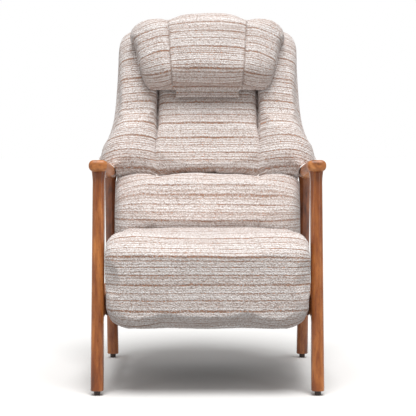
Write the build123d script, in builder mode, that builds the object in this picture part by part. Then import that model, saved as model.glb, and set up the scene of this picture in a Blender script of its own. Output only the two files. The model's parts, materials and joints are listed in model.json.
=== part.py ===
from build123d import *
import math
import os

os.makedirs("parts", exist_ok=True)

# Push-back recliner between two solid wood side frames, in millimetres.
# X runs across the chair, Y to its back, Z up. The sitter looks along -Y.
# The origin lies on the floor below the middle of the whole chair.
# Left and right are as seen from the front, so left is at negative X.
SIDES = (("left", -1), ("right", 1))

# Driving sizes of the wooden side frames
leg_centre_x = 290.0
front_foot_y = -335.0
front_leg_top_y = -240.0
rear_foot_y = 300.0
rear_leg_top_y = 205.0
leg_across_foot = 34.0
leg_across_waist = 31.5
leg_across_neck = 44.0
front_leg_deep_foot = 32.0
front_leg_deep_top = 50.0
rear_leg_deep_foot = 30.0
rear_leg_deep_top = 44.0
foot_chamfer = 1.6
arm_front_y = -286.0
arm_rear_y = 246.0
arm_front_middle_z = 602.0
arm_rear_middle_z = 565.0
arm_bow = 3.0
arm_front_width = 50.0
arm_rear_width = 40.0
arm_front_thickness = 30.0
arm_rear_thickness = 36.0
rail_thickness = 24.0
rail_bottom_z = 190.0
rail_height = 60.0
rail_edge_radius = 5.0
dowel_radius = 5.0
dowel_in_leg = 25.0
dowel_in_rail = 35.0
arm_dowel_length = 60.0
dowel_rise_in_arm = 4.0
glide_height = 12.0
glide_radius = 8.5
glide_edge = 1.5

# Driving sizes of the seat box
board_thickness = 18.0
box_front_y = -225.0
box_rear_y = 218.0
box_bottom_z = 188.0
box_top_z = 315.0
front_rail_thickness = 20.0
front_rail_notch_z = 276.0
rod_side_room = 7.0
middle_rail_y = 50.0
middle_rail_height = 60.0
corner_block_leg = 38.0
corner_block_height = 70.0
corner_block_rise = 4.0
rail_spacer_length = 40.0
rail_spacer_reach = 20.0
rail_bolt_front_y = -150.0
rail_bolt_rear_y = 60.0
rail_bolt_radius = 4.0
rail_bolt_head_radius = 8.0
rail_bolt_head_height = 5.0
insert_radius = 6.5
insert_length = 14.0
insert_depth = 2.0
dust_cover_thickness = 1.5

# Driving sizes of the springs
spring_wire_radius = 1.6
spring_pitch = 16.0
spring_reach = 14.0
seat_spring_spacing = 92.0
seat_spring_count = 5
clip_length = 22.0
clip_width = 12.0
clip_height = 5.4
clip_play = 0.2
felt_thickness = 3.5
felt_side_gap = 22.0

# Driving sizes of the soft parts, with the gap that a soft part keeps from its neighbours
soft_gap = 0.3
seat_side_gap = 2.0
seat_rear_y = 12.0
seat_crown_z = 428.0
seat_rear_top_z = 413.0
seat_side_drop = 22.0
knee_roll_radius = 75.0
knee_roll_gap = 1.5
pad_side_gap = 5.0
pad_thickness = 85.0
pad_bottom_z = 179.0
pad_bottom_radius = 30.0
pad_side_inset = 20.0
pad_corner_rise = 62.0

# Driving sizes of the leg rest's mechanism
leg_hinge_y = -310.0
leg_hinge_z = 355.0
leg_lever = 32.0
leg_rest_travel = 80.0
link_thickness = 5.0
washer_thickness = 1.5
link_hub_width = 28.0
link_bar_width = 20.0
leg_arm_width = 14.0
leg_board_top_z = 276.0
leg_board_rise = 16.0
bracket_foot_y = -198.0
bracket_foot_z = 262.0
bracket_foot_length = 54.0
bracket_foot_height = 56.0
pin_radius = 5.0
pin_running_gap = 0.05
pin_head_radius = 9.0
pin_head_height = 3.0
slot_hub_radius = 45.0
slot_gap = 2.5
screw_radius = 2.0
screw_length = 17.0
screw_head_radius = 3.8
screw_head_height = 1.6

# Driving sizes of the back and its mechanism
back_pivot_y = 135.0
back_pivot_z = 280.0
back_lever = 80.0
back_travel = 30.0
back_lean = 20.0
back_face_y = 70.0
back_face_z = 500.0
back_bottom_up = -122.0
lumbar_top_up = 78.0
wing_bottom_up = 64.0
back_top_up = 540.0
arm_side_gap = 1.0
wing_over_arm = 38.0
arm_clear_z = 607.0
back_seam_x = 151.0
seam_gap = 1.0
pad_front = 12.0
pad_rear = -58.0
wing_lift = 20.0
lumbar_lift = 16.0
stile_front = -66.0
stile_rear = -102.0
stile_width = 24.5
stile_bottom_up = -104.0
stile_top_gap = 40.0
back_rail_height = 40.0
middle_back_rail_up = 95.0
shell_front = -59.0
shell_rear = -137.5
shell_wall = 8.0
shell_floor = 12.0
shell_bottom_up = -106.0
shell_edge = 9.0
wing_core_thickness = 34.0
wing_core_inset = 12.0
back_spring_ups = (10.0, 180.0, 290.0, 400.0)

# Driving sizes of the head pillow and its strap
pillow_bottom_up = 322.0
pillow_top_up = 563.0
pillow_half_width = 232.0
pillow_seam_x = 118.0
pillow_front = 84.0
seam_depth = 20.0
strap_thickness = 4.4
strap_half_width = 93.0
tab_to_strap = 34.0
strap_rear_bottom_up = 232.0
strap_bend = 12.0
tab_bottom_up = 290.0
tab_height = 48.0
pouch_bottom_up = 240.0
pouch_top_up = 330.0
pouch_half_width = 100.0
pouch_thickness = 30.0
pouch_edge = 9.0
weight_width = 150.0
weight_height = 50.0
weight_thickness = 14.0

# Share of the leg's height at which its neck starts, and shares that shape the neck:
# height within it, width from the waist to the widest
NECK_START_SHARE = 0.93
NECK_SHARES = ((0.0, 0.0), (0.5, 0.3), (1.0, 1.0))
# Length share along the arm, share of its width and thickness there
ARM_SHARES = ((0.0, 1.0, 1.0), (0.3, 0.95, 1.0), (0.65, 0.95, 1.0), (1.0, 1.0, 1.0))
ARM_END_SHARE = 0.34
CORNER_SHARE = 0.36
ARM_CORNER_SHARE = 0.44
# Share across a soft part and how full it is there
FULL_SHARES = ((-1.0, 0.0), (-0.965, 0.5), (-0.86, 0.84), (-0.5, 0.97), (0.0, 1.0),
               (0.5, 0.97), (0.86, 0.84), (0.965, 0.5), (1.0, 0.0))
# Share of the wing's height, share of its half width, share of its lift and how full it is
WING_SHARES = ((0.0, 0.965, 0.1, 0.0), (0.045, 0.99, 0.6, 0.7), (0.11, 1.0, 1.0, 1.0),
               (0.19, 0.96, 1.0, 1.0), (0.26, 0.905, 0.7, 1.0), (0.34, 0.863, 0.25, 1.0),
               (0.5, 0.83, 0.0, 1.0), (0.76, 0.814, 0.0, 1.0), (0.9, 0.8, 0.0, 0.9),
               (0.965, 0.762, 0.0, 0.6), (1.0, 0.69, 0.0, 0.0))
# Share of the centre panel's height and how full it is
PANEL_SHARES = ((0.0, 0.0), (0.05, 0.8), (0.25, 1.0), (0.75, 1.0), (0.95, 0.8), (1.0, 0.0))
# Share of the pillow's height, of its half width, of the seam's place and of its fullness
PILLOW_SHARES = ((0.0, 0.7, 0.87, 0.0), (0.05, 0.775, 0.88, 0.62), (0.22, 0.85, 0.9, 0.93),
                 (0.5, 0.915, 0.94, 1.0), (0.78, 0.965, 0.97, 0.95), (0.93, 0.985, 1.0, 0.7),
                 (1.0, 0.93, 1.02, 0.0))

# Share of the back arm's run along the stile at which its two screws stand
BACK_SCREW_SHARES = (0.2, 0.7)
# Share of the leg rest board's height at which its screws stand
BOARD_SCREW_SHARES = (0.25, 0.75)
# Directions in degrees, from the rear upwards, that the slots of the leg rest pad are open to
SLOT_ANGLES = (-102, -70, -30, 15, 60)
# Share of a panel's depth at which its seams lie
SEAM_SHARE = 0.35


def mix(low, high, share):
    """The value that lies a share of the way from low to high."""
    return low + (high - low) * share


def block(x_from, x_to, y_from, y_to, z_from, z_to, mode=Mode.ADD):
    """A square block between two corners."""
    with Locations(((x_from + x_to) / 2, (y_from + y_to) / 2, (z_from + z_to) / 2)):
        Box(abs(x_to - x_from), abs(y_to - y_from), abs(z_to - z_from), mode=mode)


def round_across(x_from, x_to, y, z, radius, mode=Mode.ADD):
    """A round bar along X, such as a pin, bolt or screw."""
    with Locations(Plane(origin=((x_from + x_to) / 2, y, z), z_dir=(1, 0, 0))):
        Cylinder(radius, abs(x_to - x_from), mode=mode)


def link_bar(start, end, width):
    """A flat bar with round ends, drawn from one hole's middle to another's."""
    run = math.dist(start, end)
    turn = math.degrees(math.atan2(end[1] - start[1], end[0] - start[0]))
    with Locations(((start[0] + end[0]) / 2, (start[1] + end[1]) / 2)):
        SlotOverall(run + width, width, rotation=turn)


# The back's own directions: up its slope, and out of its front face.
up_y = math.sin(math.radians(back_lean))
up_z = math.cos(math.radians(back_lean))


def on_back(up, out):
    """Y and Z of a point of the back, from its height up the slope and its distance out of the face."""
    return (back_face_y + up * up_y - out * up_z, back_face_z + up * up_z + out * up_y)


def across_back(up):
    """Plane square to the slope: its own X runs across the chair, its own Y out of the face."""
    y, z = on_back(up, 0)
    return Plane(origin=(0, y, z), x_dir=(1, 0, 0), z_dir=(0, -up_y, -up_z))


def along_back(x):
    """Plane square to X: its own X runs up the slope, its own Y out of the face."""
    y, z = on_back(0, 0)
    return Plane(origin=(x, y, z), x_dir=(0, up_y, up_z), z_dir=(1, 0, 0))


def facing_back(out):
    """Plane parallel to the back's face: its own X runs across, its own Y up the slope."""
    y, z = on_back(0, out)
    return Plane(origin=(0, y, z), x_dir=(1, 0, 0), z_dir=(0, -up_z, up_y))


def back_block(x_from, x_to, up_from, up_to, out_from, out_to, mode=Mode.ADD):
    """A square block that lies along the slope of the back."""
    y, z = on_back((up_from + up_to) / 2, (out_from + out_to) / 2)
    with Locations(Plane(origin=((x_from + x_to) / 2, y, z), x_dir=(1, 0, 0), z_dir=(0, -up_z, up_y))):
        Box(abs(x_to - x_from), abs(up_to - up_from), abs(out_to - out_from), mode=mode)


# Places that follow from the driving sizes

def arm_middle_z(y):
    """Height of the arm's middle line, which falls to the rear with a slight bow."""
    share = (y - arm_front_y) / (arm_rear_y - arm_front_y)
    return mix(arm_front_middle_z, arm_rear_middle_z, share) + 4 * arm_bow * share * (1 - share)


def leg_middle_y(z, foot_y, top_y):
    """Place of a slanted leg's middle at one height."""
    top_z = arm_middle_z(top_y)
    return mix(foot_y, top_y, (z - glide_height) / (top_z - glide_height))


LEGS = (
    ("front_leg", front_foot_y, front_leg_top_y, front_leg_deep_foot, front_leg_deep_top),
    ("rear_leg", rear_foot_y, rear_leg_top_y, rear_leg_deep_foot, rear_leg_deep_top),
)
rail_middle_z = rail_bottom_z + rail_height / 2
rail_inner_x = leg_centre_x - rail_thickness / 2
rail_outer_x = leg_centre_x + rail_thickness / 2
box_side_x = rail_inner_x - rail_spacer_reach - board_thickness
seat_half_width = leg_centre_x - leg_across_neck / 2 - seat_side_gap
pad_half_width = leg_centre_x - leg_across_foot / 2 - pad_side_gap
back_half_width = leg_centre_x - arm_front_width / 2 - arm_side_gap
wing_half_width = leg_centre_x + wing_over_arm
felt_half_width = box_side_x - felt_side_gap
box_outer_x = box_side_x + board_thickness
plate_x = box_side_x - link_thickness
arm_plate_outer_x = plate_x - washer_thickness
arm_plate_inner_x = arm_plate_outer_x - link_thickness
rod_outer_x = arm_plate_inner_x - washer_thickness
rod_inner_x = rod_outer_x - link_thickness
front_rail_notch_x = rod_inner_x - rod_side_room
stile_outer_x = arm_plate_inner_x
stile_inner_x = stile_outer_x - stile_width
stile_top_up = back_top_up - stile_top_gap
stile_middle = (stile_front + stile_rear) / 2
leg_lever_turn = math.radians(leg_rest_travel / 2)
leg_lever_y = leg_hinge_y + leg_lever * math.sin(leg_lever_turn)
leg_lever_z = leg_hinge_z - leg_lever * math.cos(leg_lever_turn)
back_lever_turn = math.radians(back_travel / 2)
back_lever_y = back_pivot_y + back_lever * math.sin(back_lever_turn)
back_lever_z = back_pivot_z - back_lever * math.cos(back_lever_turn)
spring_z = box_top_z + spring_wire_radius
clip_room = 2 * spring_wire_radius + clip_play
felt_bottom_z = box_top_z + clip_height + soft_gap
seat_bottom_z = felt_bottom_z + felt_thickness + soft_gap
pad_front_y = leg_hinge_y - knee_roll_radius
pad_rear_y = pad_front_y + pad_thickness
tab_top_up = tab_bottom_up + tab_height
strap_bottom_up = tab_top_up + tab_to_strap
strap_near = pad_front + soft_gap
strap_far = strap_near + strap_thickness
pillow_rear = strap_far + soft_gap
strap_rear_near = shell_rear - soft_gap
pouch_front = strap_rear_near - strap_thickness - soft_gap

# Dowels: one up into each arm, two at each end of each side rail, all glued.
with BuildPart() as frame_dowels:
    for side, sign in SIDES:
        for leg_name, foot_y, top_y, deep_foot, deep_top in LEGS:
            dowel_top_z = arm_middle_z(top_y) + dowel_rise_in_arm
            with Locations((sign * leg_centre_x, top_y, dowel_top_z - arm_dowel_length / 2)):
                Cylinder(dowel_radius, arm_dowel_length)
            inwards = 1 if foot_y < 0 else -1
            for level in (rail_middle_z - rail_height / 4, rail_middle_z + rail_height / 4):
                leg_face_y = leg_middle_y(level, foot_y, top_y) + inwards * deep_top / 2
                dowel_end_a = leg_face_y - inwards * dowel_in_leg
                dowel_end_b = leg_face_y + inwards * dowel_in_rail
                dowel_middle = (sign * leg_centre_x, (dowel_end_a + dowel_end_b) / 2, level)
                with Locations(Plane(origin=dowel_middle, z_dir=(0, 1, 0))):
                    Cylinder(dowel_radius, dowel_in_leg + dowel_in_rail)
frame_dowels.part.label = "frame_dowels"
export_step(frame_dowels.part, "parts/frame_dowels.step")

# Bolts that hold the seat box between the side rails, with their threaded inserts and spacers.
BOLT_PLACES = [(sign, y) for side, sign in SIDES for y in (rail_bolt_front_y, rail_bolt_rear_y)]
with BuildPart() as rail_bolts:
    for sign, y in BOLT_PLACES:
        head_x = box_side_x - rail_bolt_head_height
        tip_x = rail_inner_x + insert_depth + insert_length
        round_across(sign * head_x, sign * box_side_x, y, rail_middle_z, rail_bolt_head_radius)
        round_across(sign * box_side_x, sign * tip_x, y, rail_middle_z, rail_bolt_radius)
rail_bolts.part.label = "rail_bolts"
export_step(rail_bolts.part, "parts/rail_bolts.step")

with BuildPart() as rail_inserts:
    for sign, y in BOLT_PLACES:
        near_x = rail_inner_x + insert_depth
        round_across(sign * near_x, sign * (near_x + insert_length), y, rail_middle_z, insert_radius)
    add(rail_bolts.part, mode=Mode.SUBTRACT)
rail_inserts.part.label = "rail_inserts"
export_step(rail_inserts.part, "parts/rail_inserts.step")

with BuildPart() as rail_spacers:
    for sign, y in BOLT_PLACES:
        half = rail_spacer_length / 2
        block(sign * box_outer_x, sign * rail_inner_x, y - half, y + half,
              rail_bottom_z, rail_bottom_z + rail_height)
    add(rail_bolts.part, mode=Mode.SUBTRACT)
rail_spacers.part.label = "rail_spacers"
export_step(rail_spacers.part, "parts/rail_spacers.step")

# Wooden side frames: sculpted arm, slanted legs scribed to its underside, rail between the legs.
for side, sign in SIDES:
    middle_x = sign * leg_centre_x
    with BuildPart() as armrest:
        for length_share, width_share, thick_share in ARM_SHARES:
            y = mix(arm_front_y, arm_rear_y, length_share)
            width = mix(arm_front_width, arm_rear_width, length_share) * width_share
            thickness = mix(arm_front_thickness, arm_rear_thickness, length_share) * thick_share
            section = Plane(origin=(middle_x, y, arm_middle_z(y)), x_dir=(1, 0, 0), z_dir=(0, -1, 0))
            with BuildSketch(section):
                RectangleRounded(width, thickness, min(width, thickness) * ARM_CORNER_SHARE)
        loft()
        for end_face, end_thickness in zip(armrest.faces().sort_by(Axis.Y)[::len(armrest.faces()) - 1],
                                           (arm_front_thickness, arm_rear_thickness)):
            fillet(end_face.edges(), end_thickness * ARM_END_SHARE)
        add(frame_dowels.part, mode=Mode.SUBTRACT)
    armrest.part.label = f"{side}_armrest"
    export_step(armrest.part, f"parts/{side}_armrest.step")

    legs = []
    for leg_name, foot_y, top_y, deep_foot, deep_top in LEGS:
        top_z = arm_middle_z(top_y)
        with BuildPart() as leg:
            neck_z = mix(glide_height, top_z, NECK_START_SHARE)
            deep_neck = mix(deep_foot, deep_top, NECK_START_SHARE)
            for z, across, deep in ((glide_height, leg_across_foot, deep_foot),
                                    (neck_z, leg_across_waist, deep_neck)):
                with BuildSketch(Plane.XY.offset(z)):
                    with Locations((middle_x, leg_middle_y(z, foot_y, top_y))):
                        RectangleRounded(across, deep, min(across, deep) * CORNER_SHARE)
            loft()
            for neck_share, open_share in NECK_SHARES:
                z = mix(neck_z, top_z, neck_share)
                across = mix(leg_across_waist, leg_across_neck, open_share)
                deep = mix(deep_neck, deep_top, neck_share)
                with BuildSketch(Plane.XY.offset(z)):
                    with Locations((middle_x, leg_middle_y(z, foot_y, top_y))):
                        RectangleRounded(across, deep, min(across, deep) * CORNER_SHARE)
            loft()
            chamfer(leg.faces().sort_by(Axis.Z)[0].edges(), foot_chamfer)
            add(armrest.part, mode=Mode.SUBTRACT)
            add(frame_dowels.part, mode=Mode.SUBTRACT)
        legs.append(leg.part)
        leg.part.label = f"{side}_{leg_name}"
        export_step(leg.part, f"parts/{side}_{leg_name}.step")

    with BuildPart() as side_rail:
        front_y = leg_middle_y(rail_middle_z, front_foot_y, front_leg_top_y)
        rear_y = leg_middle_y(rail_middle_z, rear_foot_y, rear_leg_top_y)
        rail_top_z = rail_bottom_z + rail_height
        block(sign * rail_inner_x, sign * rail_outer_x, front_y, rear_y, rail_bottom_z, rail_top_z)
        fillet(side_rail.edges().filter_by(Axis.Y), rail_edge_radius)
        for leg_part in legs:
            add(leg_part, mode=Mode.SUBTRACT)
        add(frame_dowels.part, mode=Mode.SUBTRACT)
        add(rail_bolts.part, mode=Mode.SUBTRACT)
        add(rail_inserts.part, mode=Mode.SUBTRACT)
    side_rail.part.label = f"{side}_side_rail"
    export_step(side_rail.part, f"parts/{side}_side_rail.step")

# Moulded glides under the four feet
with BuildPart() as leg_glides:
    for side, sign in SIDES:
        for leg_name, foot_y, top_y, deep_foot, deep_top in LEGS:
            with Locations((sign * leg_centre_x, foot_y, glide_height / 2)):
                Cylinder(glide_radius, glide_height)
    chamfer(leg_glides.faces().group_by(Axis.Z)[0].edges(), glide_edge)
leg_glides.part.label = "leg_glides"
export_step(leg_glides.part, "parts/leg_glides.step")

# Steel plates screwed inside the seat box: front brackets carry the leg rest, rear plates the back.
with BuildPart() as plate_screws:
    for side, sign in SIDES:
        for y_share in (-1, 1):
            for z_share in (-1, 1):
                bracket_y = bracket_foot_y + y_share * bracket_foot_length / 3
                bracket_z = bracket_foot_z + z_share * bracket_foot_height / 3
                pivot_y = back_pivot_y + y_share * bracket_foot_length / 3
                pivot_z = back_pivot_z + z_share * bracket_foot_height / 3
                tip_x = plate_x + screw_length
                head_end_x = plate_x + screw_head_height
                for y, z in ((bracket_y, bracket_z), (pivot_y, pivot_z)):
                    round_across(sign * plate_x, sign * tip_x, y, z, screw_radius)
                    round_across(sign * plate_x, sign * head_end_x, y, z, screw_head_radius)
plate_screws.part.label = "plate_screws"
export_step(plate_screws.part, "parts/plate_screws.step")

# Hinge pins: the pair in front carries the leg rest, the pair behind carries the back.
with BuildPart() as hinge_pins:
    for side, sign in SIDES:
        for y, z, end_x in ((leg_hinge_y, leg_hinge_z, box_side_x),
                            (back_pivot_y, back_pivot_z, box_outer_x)):
            inner_x = arm_plate_inner_x
            round_across(sign * inner_x, sign * end_x, y, z, pin_radius)
            for face_x, way in ((inner_x, -1), (end_x, 1)):
                head_x = face_x + way * pin_head_height
                round_across(sign * face_x, sign * head_x, y, z, pin_head_radius)
hinge_pins.part.label = "hinge_pins"
export_step(hinge_pins.part, "parts/hinge_pins.step")

with BuildPart() as pivot_washers:
    for side, sign in SIDES:
        for y, z in ((leg_hinge_y, leg_hinge_z), (back_pivot_y, back_pivot_z)):
            round_across(sign * arm_plate_outer_x, sign * plate_x, y, z, pin_head_radius)
    add(hinge_pins.part, mode=Mode.SUBTRACT)
    # a running gap on the side of the moving arm
    for side, sign in SIDES:
        for y, z in ((leg_hinge_y, leg_hinge_z), (back_pivot_y, back_pivot_z)):
            gap_x = arm_plate_outer_x + pin_running_gap
            round_across(sign * arm_plate_outer_x, sign * gap_x, y, z, pin_head_radius, mode=Mode.SUBTRACT)
pivot_washers.part.label = "pivot_washers"
export_step(pivot_washers.part, "parts/pivot_washers.step")

with BuildPart() as leg_rest_brackets:
    for side, sign in SIDES:
        with BuildSketch(Plane.YZ.offset(sign * plate_x)):
            link_bar((leg_hinge_y, leg_hinge_z), (bracket_foot_y, bracket_foot_z), link_hub_width)
            with Locations((bracket_foot_y, bracket_foot_z)):
                RectangleRounded(bracket_foot_length, bracket_foot_height, screw_head_radius)
        extrude(amount=sign * link_thickness)
    add(hinge_pins.part, mode=Mode.SUBTRACT)
    add(plate_screws.part, mode=Mode.SUBTRACT)
leg_rest_brackets.part.label = "leg_rest_brackets"
export_step(leg_rest_brackets.part, "parts/leg_rest_brackets.step")

with BuildPart() as back_pivot_plates:
    for side, sign in SIDES:
        with BuildSketch(Plane.YZ.offset(sign * plate_x)):
            with Locations((back_pivot_y, back_pivot_z)):
                RectangleRounded(bracket_foot_length, bracket_foot_height, screw_head_radius)
        extrude(amount=sign * link_thickness)
    add(hinge_pins.part, mode=Mode.SUBTRACT)
    add(plate_screws.part, mode=Mode.SUBTRACT)
back_pivot_plates.part.label = "back_pivot_plates"
export_step(back_pivot_plates.part, "parts/back_pivot_plates.step")

# Seat box: two sides, front rail with notches for the push rods, middle rail, rear rail, corner blocks.
for side, sign in SIDES:
    with BuildPart() as seat_box_side:
        block(sign * box_side_x, sign * box_outer_x, box_front_y, box_rear_y, box_bottom_z, box_top_z)
        add(rail_bolts.part, mode=Mode.SUBTRACT)
        add(hinge_pins.part, mode=Mode.SUBTRACT)
        add(plate_screws.part, mode=Mode.SUBTRACT)
    seat_box_side.part.label = f"{side}_seat_box_side"
    export_step(seat_box_side.part, f"parts/{side}_seat_box_side.step")

with BuildPart() as seat_box_front_rail:
    rail_rear_y = box_front_y + front_rail_thickness
    block(-box_side_x, box_side_x, box_front_y, rail_rear_y, box_bottom_z, front_rail_notch_z)
    block(-front_rail_notch_x, front_rail_notch_x, box_front_y, rail_rear_y, front_rail_notch_z, box_top_z)
    add(leg_rest_brackets.part, mode=Mode.SUBTRACT)
    add(plate_screws.part, mode=Mode.SUBTRACT)
seat_box_front_rail.part.label = "seat_box_front_rail"
export_step(seat_box_front_rail.part, "parts/seat_box_front_rail.step")

with BuildPart() as seat_box_middle_rail:
    half = board_thickness / 2
    bottom_z = box_top_z - middle_rail_height
    block(-box_side_x, box_side_x, middle_rail_y - half, middle_rail_y + half, bottom_z, box_top_z)
seat_box_middle_rail.part.label = "seat_box_middle_rail"
export_step(seat_box_middle_rail.part, "parts/seat_box_middle_rail.step")

with BuildPart() as seat_box_rear_rail:
    rail_front_y = box_rear_y - board_thickness
    block(-box_side_x, box_side_x, rail_front_y, box_rear_y, box_bottom_z, box_top_z)
seat_box_rear_rail.part.label = "seat_box_rear_rail"
export_step(seat_box_rear_rail.part, "parts/seat_box_rear_rail.step")

with BuildPart() as corner_blocks:
    with BuildSketch(Plane.XY.offset(box_bottom_z + corner_block_rise)):
        for side, sign in SIDES:
            x_a = sign * box_side_x
            x_b = sign * (box_side_x - corner_block_leg)
            for y_a, way in ((box_front_y + front_rail_thickness, 1), (box_rear_y - board_thickness, -1)):
                with BuildLine():
                    Polyline((x_a, y_a), (x_b, y_a), (x_a, y_a + way * corner_block_leg), close=True)
                make_face()
    extrude(amount=corner_block_height)
    add(leg_rest_brackets.part, mode=Mode.SUBTRACT)
    add(plate_screws.part, mode=Mode.SUBTRACT)
corner_blocks.part.label = "corner_blocks"
export_step(corner_blocks.part, "parts/corner_blocks.step")

# Black cloth tacked under the seat box
with BuildPart() as dust_cover:
    block(-box_outer_x, box_outer_x, box_front_y, box_rear_y,
          box_bottom_z - dust_cover_thickness, box_bottom_z)
dust_cover.part.label = "dust_cover"
export_step(dust_cover.part, "parts/dust_cover.step")


def sinuous_spring(plane, span):
    """One zigzag wire spring: cross runs along the plane's X joined by half turns, stepping along its Y."""
    turns = int(span / spring_pitch)
    with BuildPart() as spring:
        with BuildLine(plane) as path:
            for step in range(turns + 1):
                way = 1 if step % 2 == 0 else -1
                level = (step - turns / 2) * spring_pitch
                Line((-way * spring_reach, level), (way * spring_reach, level))
                if step < turns:
                    bend = (way * (spring_reach + spring_pitch / 2), level + spring_pitch / 2)
                    arc_end = (way * spring_reach, level + spring_pitch)
                    ThreePointArc((way * spring_reach, level), bend, arc_end)
        with BuildSketch(Plane(origin=path.wire() @ 0, z_dir=path.wire() % 0)):
            Circle(spring_wire_radius)
        sweep()
    return spring.part


# Seat springs run from the front rail to the middle rail, held by steel clips, with felt on top.
seat_spring_front_y = box_front_y + front_rail_thickness / 2
seat_spring_span = middle_rail_y - seat_spring_front_y
seat_spring_turns = int(seat_spring_span / spring_pitch)
seat_spring_middle_y = (middle_rail_y + seat_spring_front_y) / 2
seat_spring_xs = [(i - (seat_spring_count - 1) / 2) * seat_spring_spacing for i in range(seat_spring_count)]
with BuildPart() as seat_springs:
    for x in seat_spring_xs:
        add(sinuous_spring(Plane(origin=(x, seat_spring_middle_y, spring_z)), seat_spring_span))
seat_springs.part.label = "seat_springs"
export_step(seat_springs.part, "parts/seat_springs.step")

with BuildPart() as spring_clips:
    half_run = seat_spring_turns * spring_pitch / 2
    for x in seat_spring_xs:
        for y in (seat_spring_middle_y - half_run, seat_spring_middle_y + half_run):
            half_x, half_y = clip_length / 2, clip_width / 2
            block(x - half_x, x + half_x, y - half_y, y + half_y,
                  box_top_z, box_top_z + clip_height)
            block(x - clip_length, x + clip_length, y - clip_room / 2, y + clip_room / 2,
                  box_bottom_z, box_top_z + clip_room, mode=Mode.SUBTRACT)
spring_clips.part.label = "spring_clips"
export_step(spring_clips.part, "parts/spring_clips.step")

with BuildPart() as seat_felt:
    felt_top_z = felt_bottom_z + felt_thickness
    block(-felt_half_width, felt_half_width, box_front_y, seat_rear_y, felt_bottom_z, felt_top_z)
seat_felt.part.label = "seat_felt"
export_step(seat_felt.part, "parts/seat_felt.step")

# Seat cushion: crowned foam whose front is hollowed to take the knee roll of the leg rest.
with BuildPart() as seat_cushion:
    for across_share, full in FULL_SHARES:
        drop = seat_side_drop * (1 - full)
        bottom_z = seat_bottom_z + drop
        rim_z = seat_rear_top_z - drop
        rear_y = seat_rear_y - drop / 2
        lip_z = seat_crown_z - drop
        crest = (mix(leg_hinge_y, seat_rear_y, 0.5), lip_z)
        with BuildSketch(Plane.YZ.offset(across_share * seat_half_width)):
            with BuildLine():
                Polyline((rear_y, rim_z), (rear_y, bottom_z), (leg_hinge_y, bottom_z), (leg_hinge_y, lip_z))
                ThreePointArc((leg_hinge_y, lip_z), crest, (rear_y, rim_z))
            make_face()
    loft()
    block(-pad_half_width, pad_half_width, leg_hinge_y, back_pivot_y, 0, seat_bottom_z, mode=Mode.SUBTRACT)
    socket_radius = knee_roll_radius + knee_roll_gap
    round_across(-pad_half_width, pad_half_width, leg_hinge_y, leg_hinge_z, socket_radius, mode=Mode.SUBTRACT)
seat_cushion.part.label = "seat_cushion"
export_step(seat_cushion.part, "parts/seat_cushion.step")

# Leg rest pad: a knee roll round the hinge line, and the flat pad that hangs from it.
with BuildPart() as leg_rest_pad:
    for across_share, full in FULL_SHARES:
        inset = pad_side_inset * (1 - full)
        roll = knee_roll_radius - inset
        front_y = leg_hinge_y - roll
        rear_y = pad_rear_y
        below_roll_z = leg_hinge_z - math.sqrt(roll ** 2 - (rear_y - leg_hinge_y) ** 2)
        turn = math.atan2(below_roll_z - leg_hinge_z, rear_y - leg_hinge_y) / 2
        roll_point = (leg_hinge_y + roll * math.cos(turn), leg_hinge_z + roll * math.sin(turn))
        bottom_z = pad_bottom_z + pad_corner_rise * (1 - full)
        corner = pad_bottom_radius
        with BuildSketch(Plane.YZ.offset(across_share * pad_half_width)):
            with BuildLine():
                RadiusArc((front_y, leg_hinge_z), (leg_hinge_y, leg_hinge_z + roll), roll)
                RadiusArc((leg_hinge_y, leg_hinge_z + roll), (leg_hinge_y + roll, leg_hinge_z), roll)
                ThreePointArc((leg_hinge_y + roll, leg_hinge_z), roll_point, (rear_y, below_roll_z))
                Line((rear_y, below_roll_z), (rear_y, bottom_z + corner))
                RadiusArc((rear_y, bottom_z + corner), (rear_y - corner, bottom_z), corner)
                Line((rear_y - corner, bottom_z), (front_y + corner, bottom_z))
                RadiusArc((front_y + corner, bottom_z), (front_y, bottom_z + corner), corner)
                Line((front_y, bottom_z + corner), (front_y, leg_hinge_z))
            make_face()
    loft()
    # slots for the hinge brackets, arms and rods, open only to the rear
    reach = knee_roll_radius + slot_hub_radius / 2
    slot_turns = [math.radians(angle) for angle in SLOT_ANGLES]
    for side, sign in SIDES:
        slot_in = rod_inner_x - pin_head_height - slot_gap
        slot_out = box_side_x + pin_head_height + slot_gap
        with BuildSketch(Plane.YZ.offset(sign * slot_in)):
            with Locations((leg_hinge_y, leg_hinge_z)):
                Circle(slot_hub_radius)
            with BuildLine():
                fan = [(leg_hinge_y + reach * math.cos(turn), leg_hinge_z + reach * math.sin(turn))
                       for turn in slot_turns]
                Polyline((leg_hinge_y, leg_hinge_z), *fan, close=True)
            make_face()
        extrude(amount=sign * (slot_out - slot_in), mode=Mode.SUBTRACT)
leg_rest_pad.part.label = "leg_rest_pad"
export_step(leg_rest_pad.part, "parts/leg_rest_pad.step")

# Leg rest: plywood board behind the pad, held between two steel arms that turn on the hinge pins.
board_y = pad_rear_y + soft_gap + leg_arm_width / 2
board_bottom_z = pad_bottom_z + leg_board_rise
with BuildPart() as leg_rest_screws:
    for side, sign in SIDES:
        tip_x = arm_plate_outer_x - screw_length
        for share in BOARD_SCREW_SHARES:
            z = mix(board_bottom_z, leg_board_top_z, share)
            round_across(sign * arm_plate_outer_x, sign * tip_x, board_y, z, screw_radius)
leg_rest_screws.part.label = "leg_rest_screws"
export_step(leg_rest_screws.part, "parts/leg_rest_screws.step")

with BuildPart() as leg_rest_board:
    half_y = leg_arm_width / 2
    half_x = arm_plate_inner_x
    block(-half_x, half_x, board_y - half_y, board_y + half_y, board_bottom_z, leg_board_top_z)
    add(leg_rest_screws.part, mode=Mode.SUBTRACT)
leg_rest_board.part.label = "leg_rest_board"
export_step(leg_rest_board.part, "parts/leg_rest_board.step")

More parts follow.
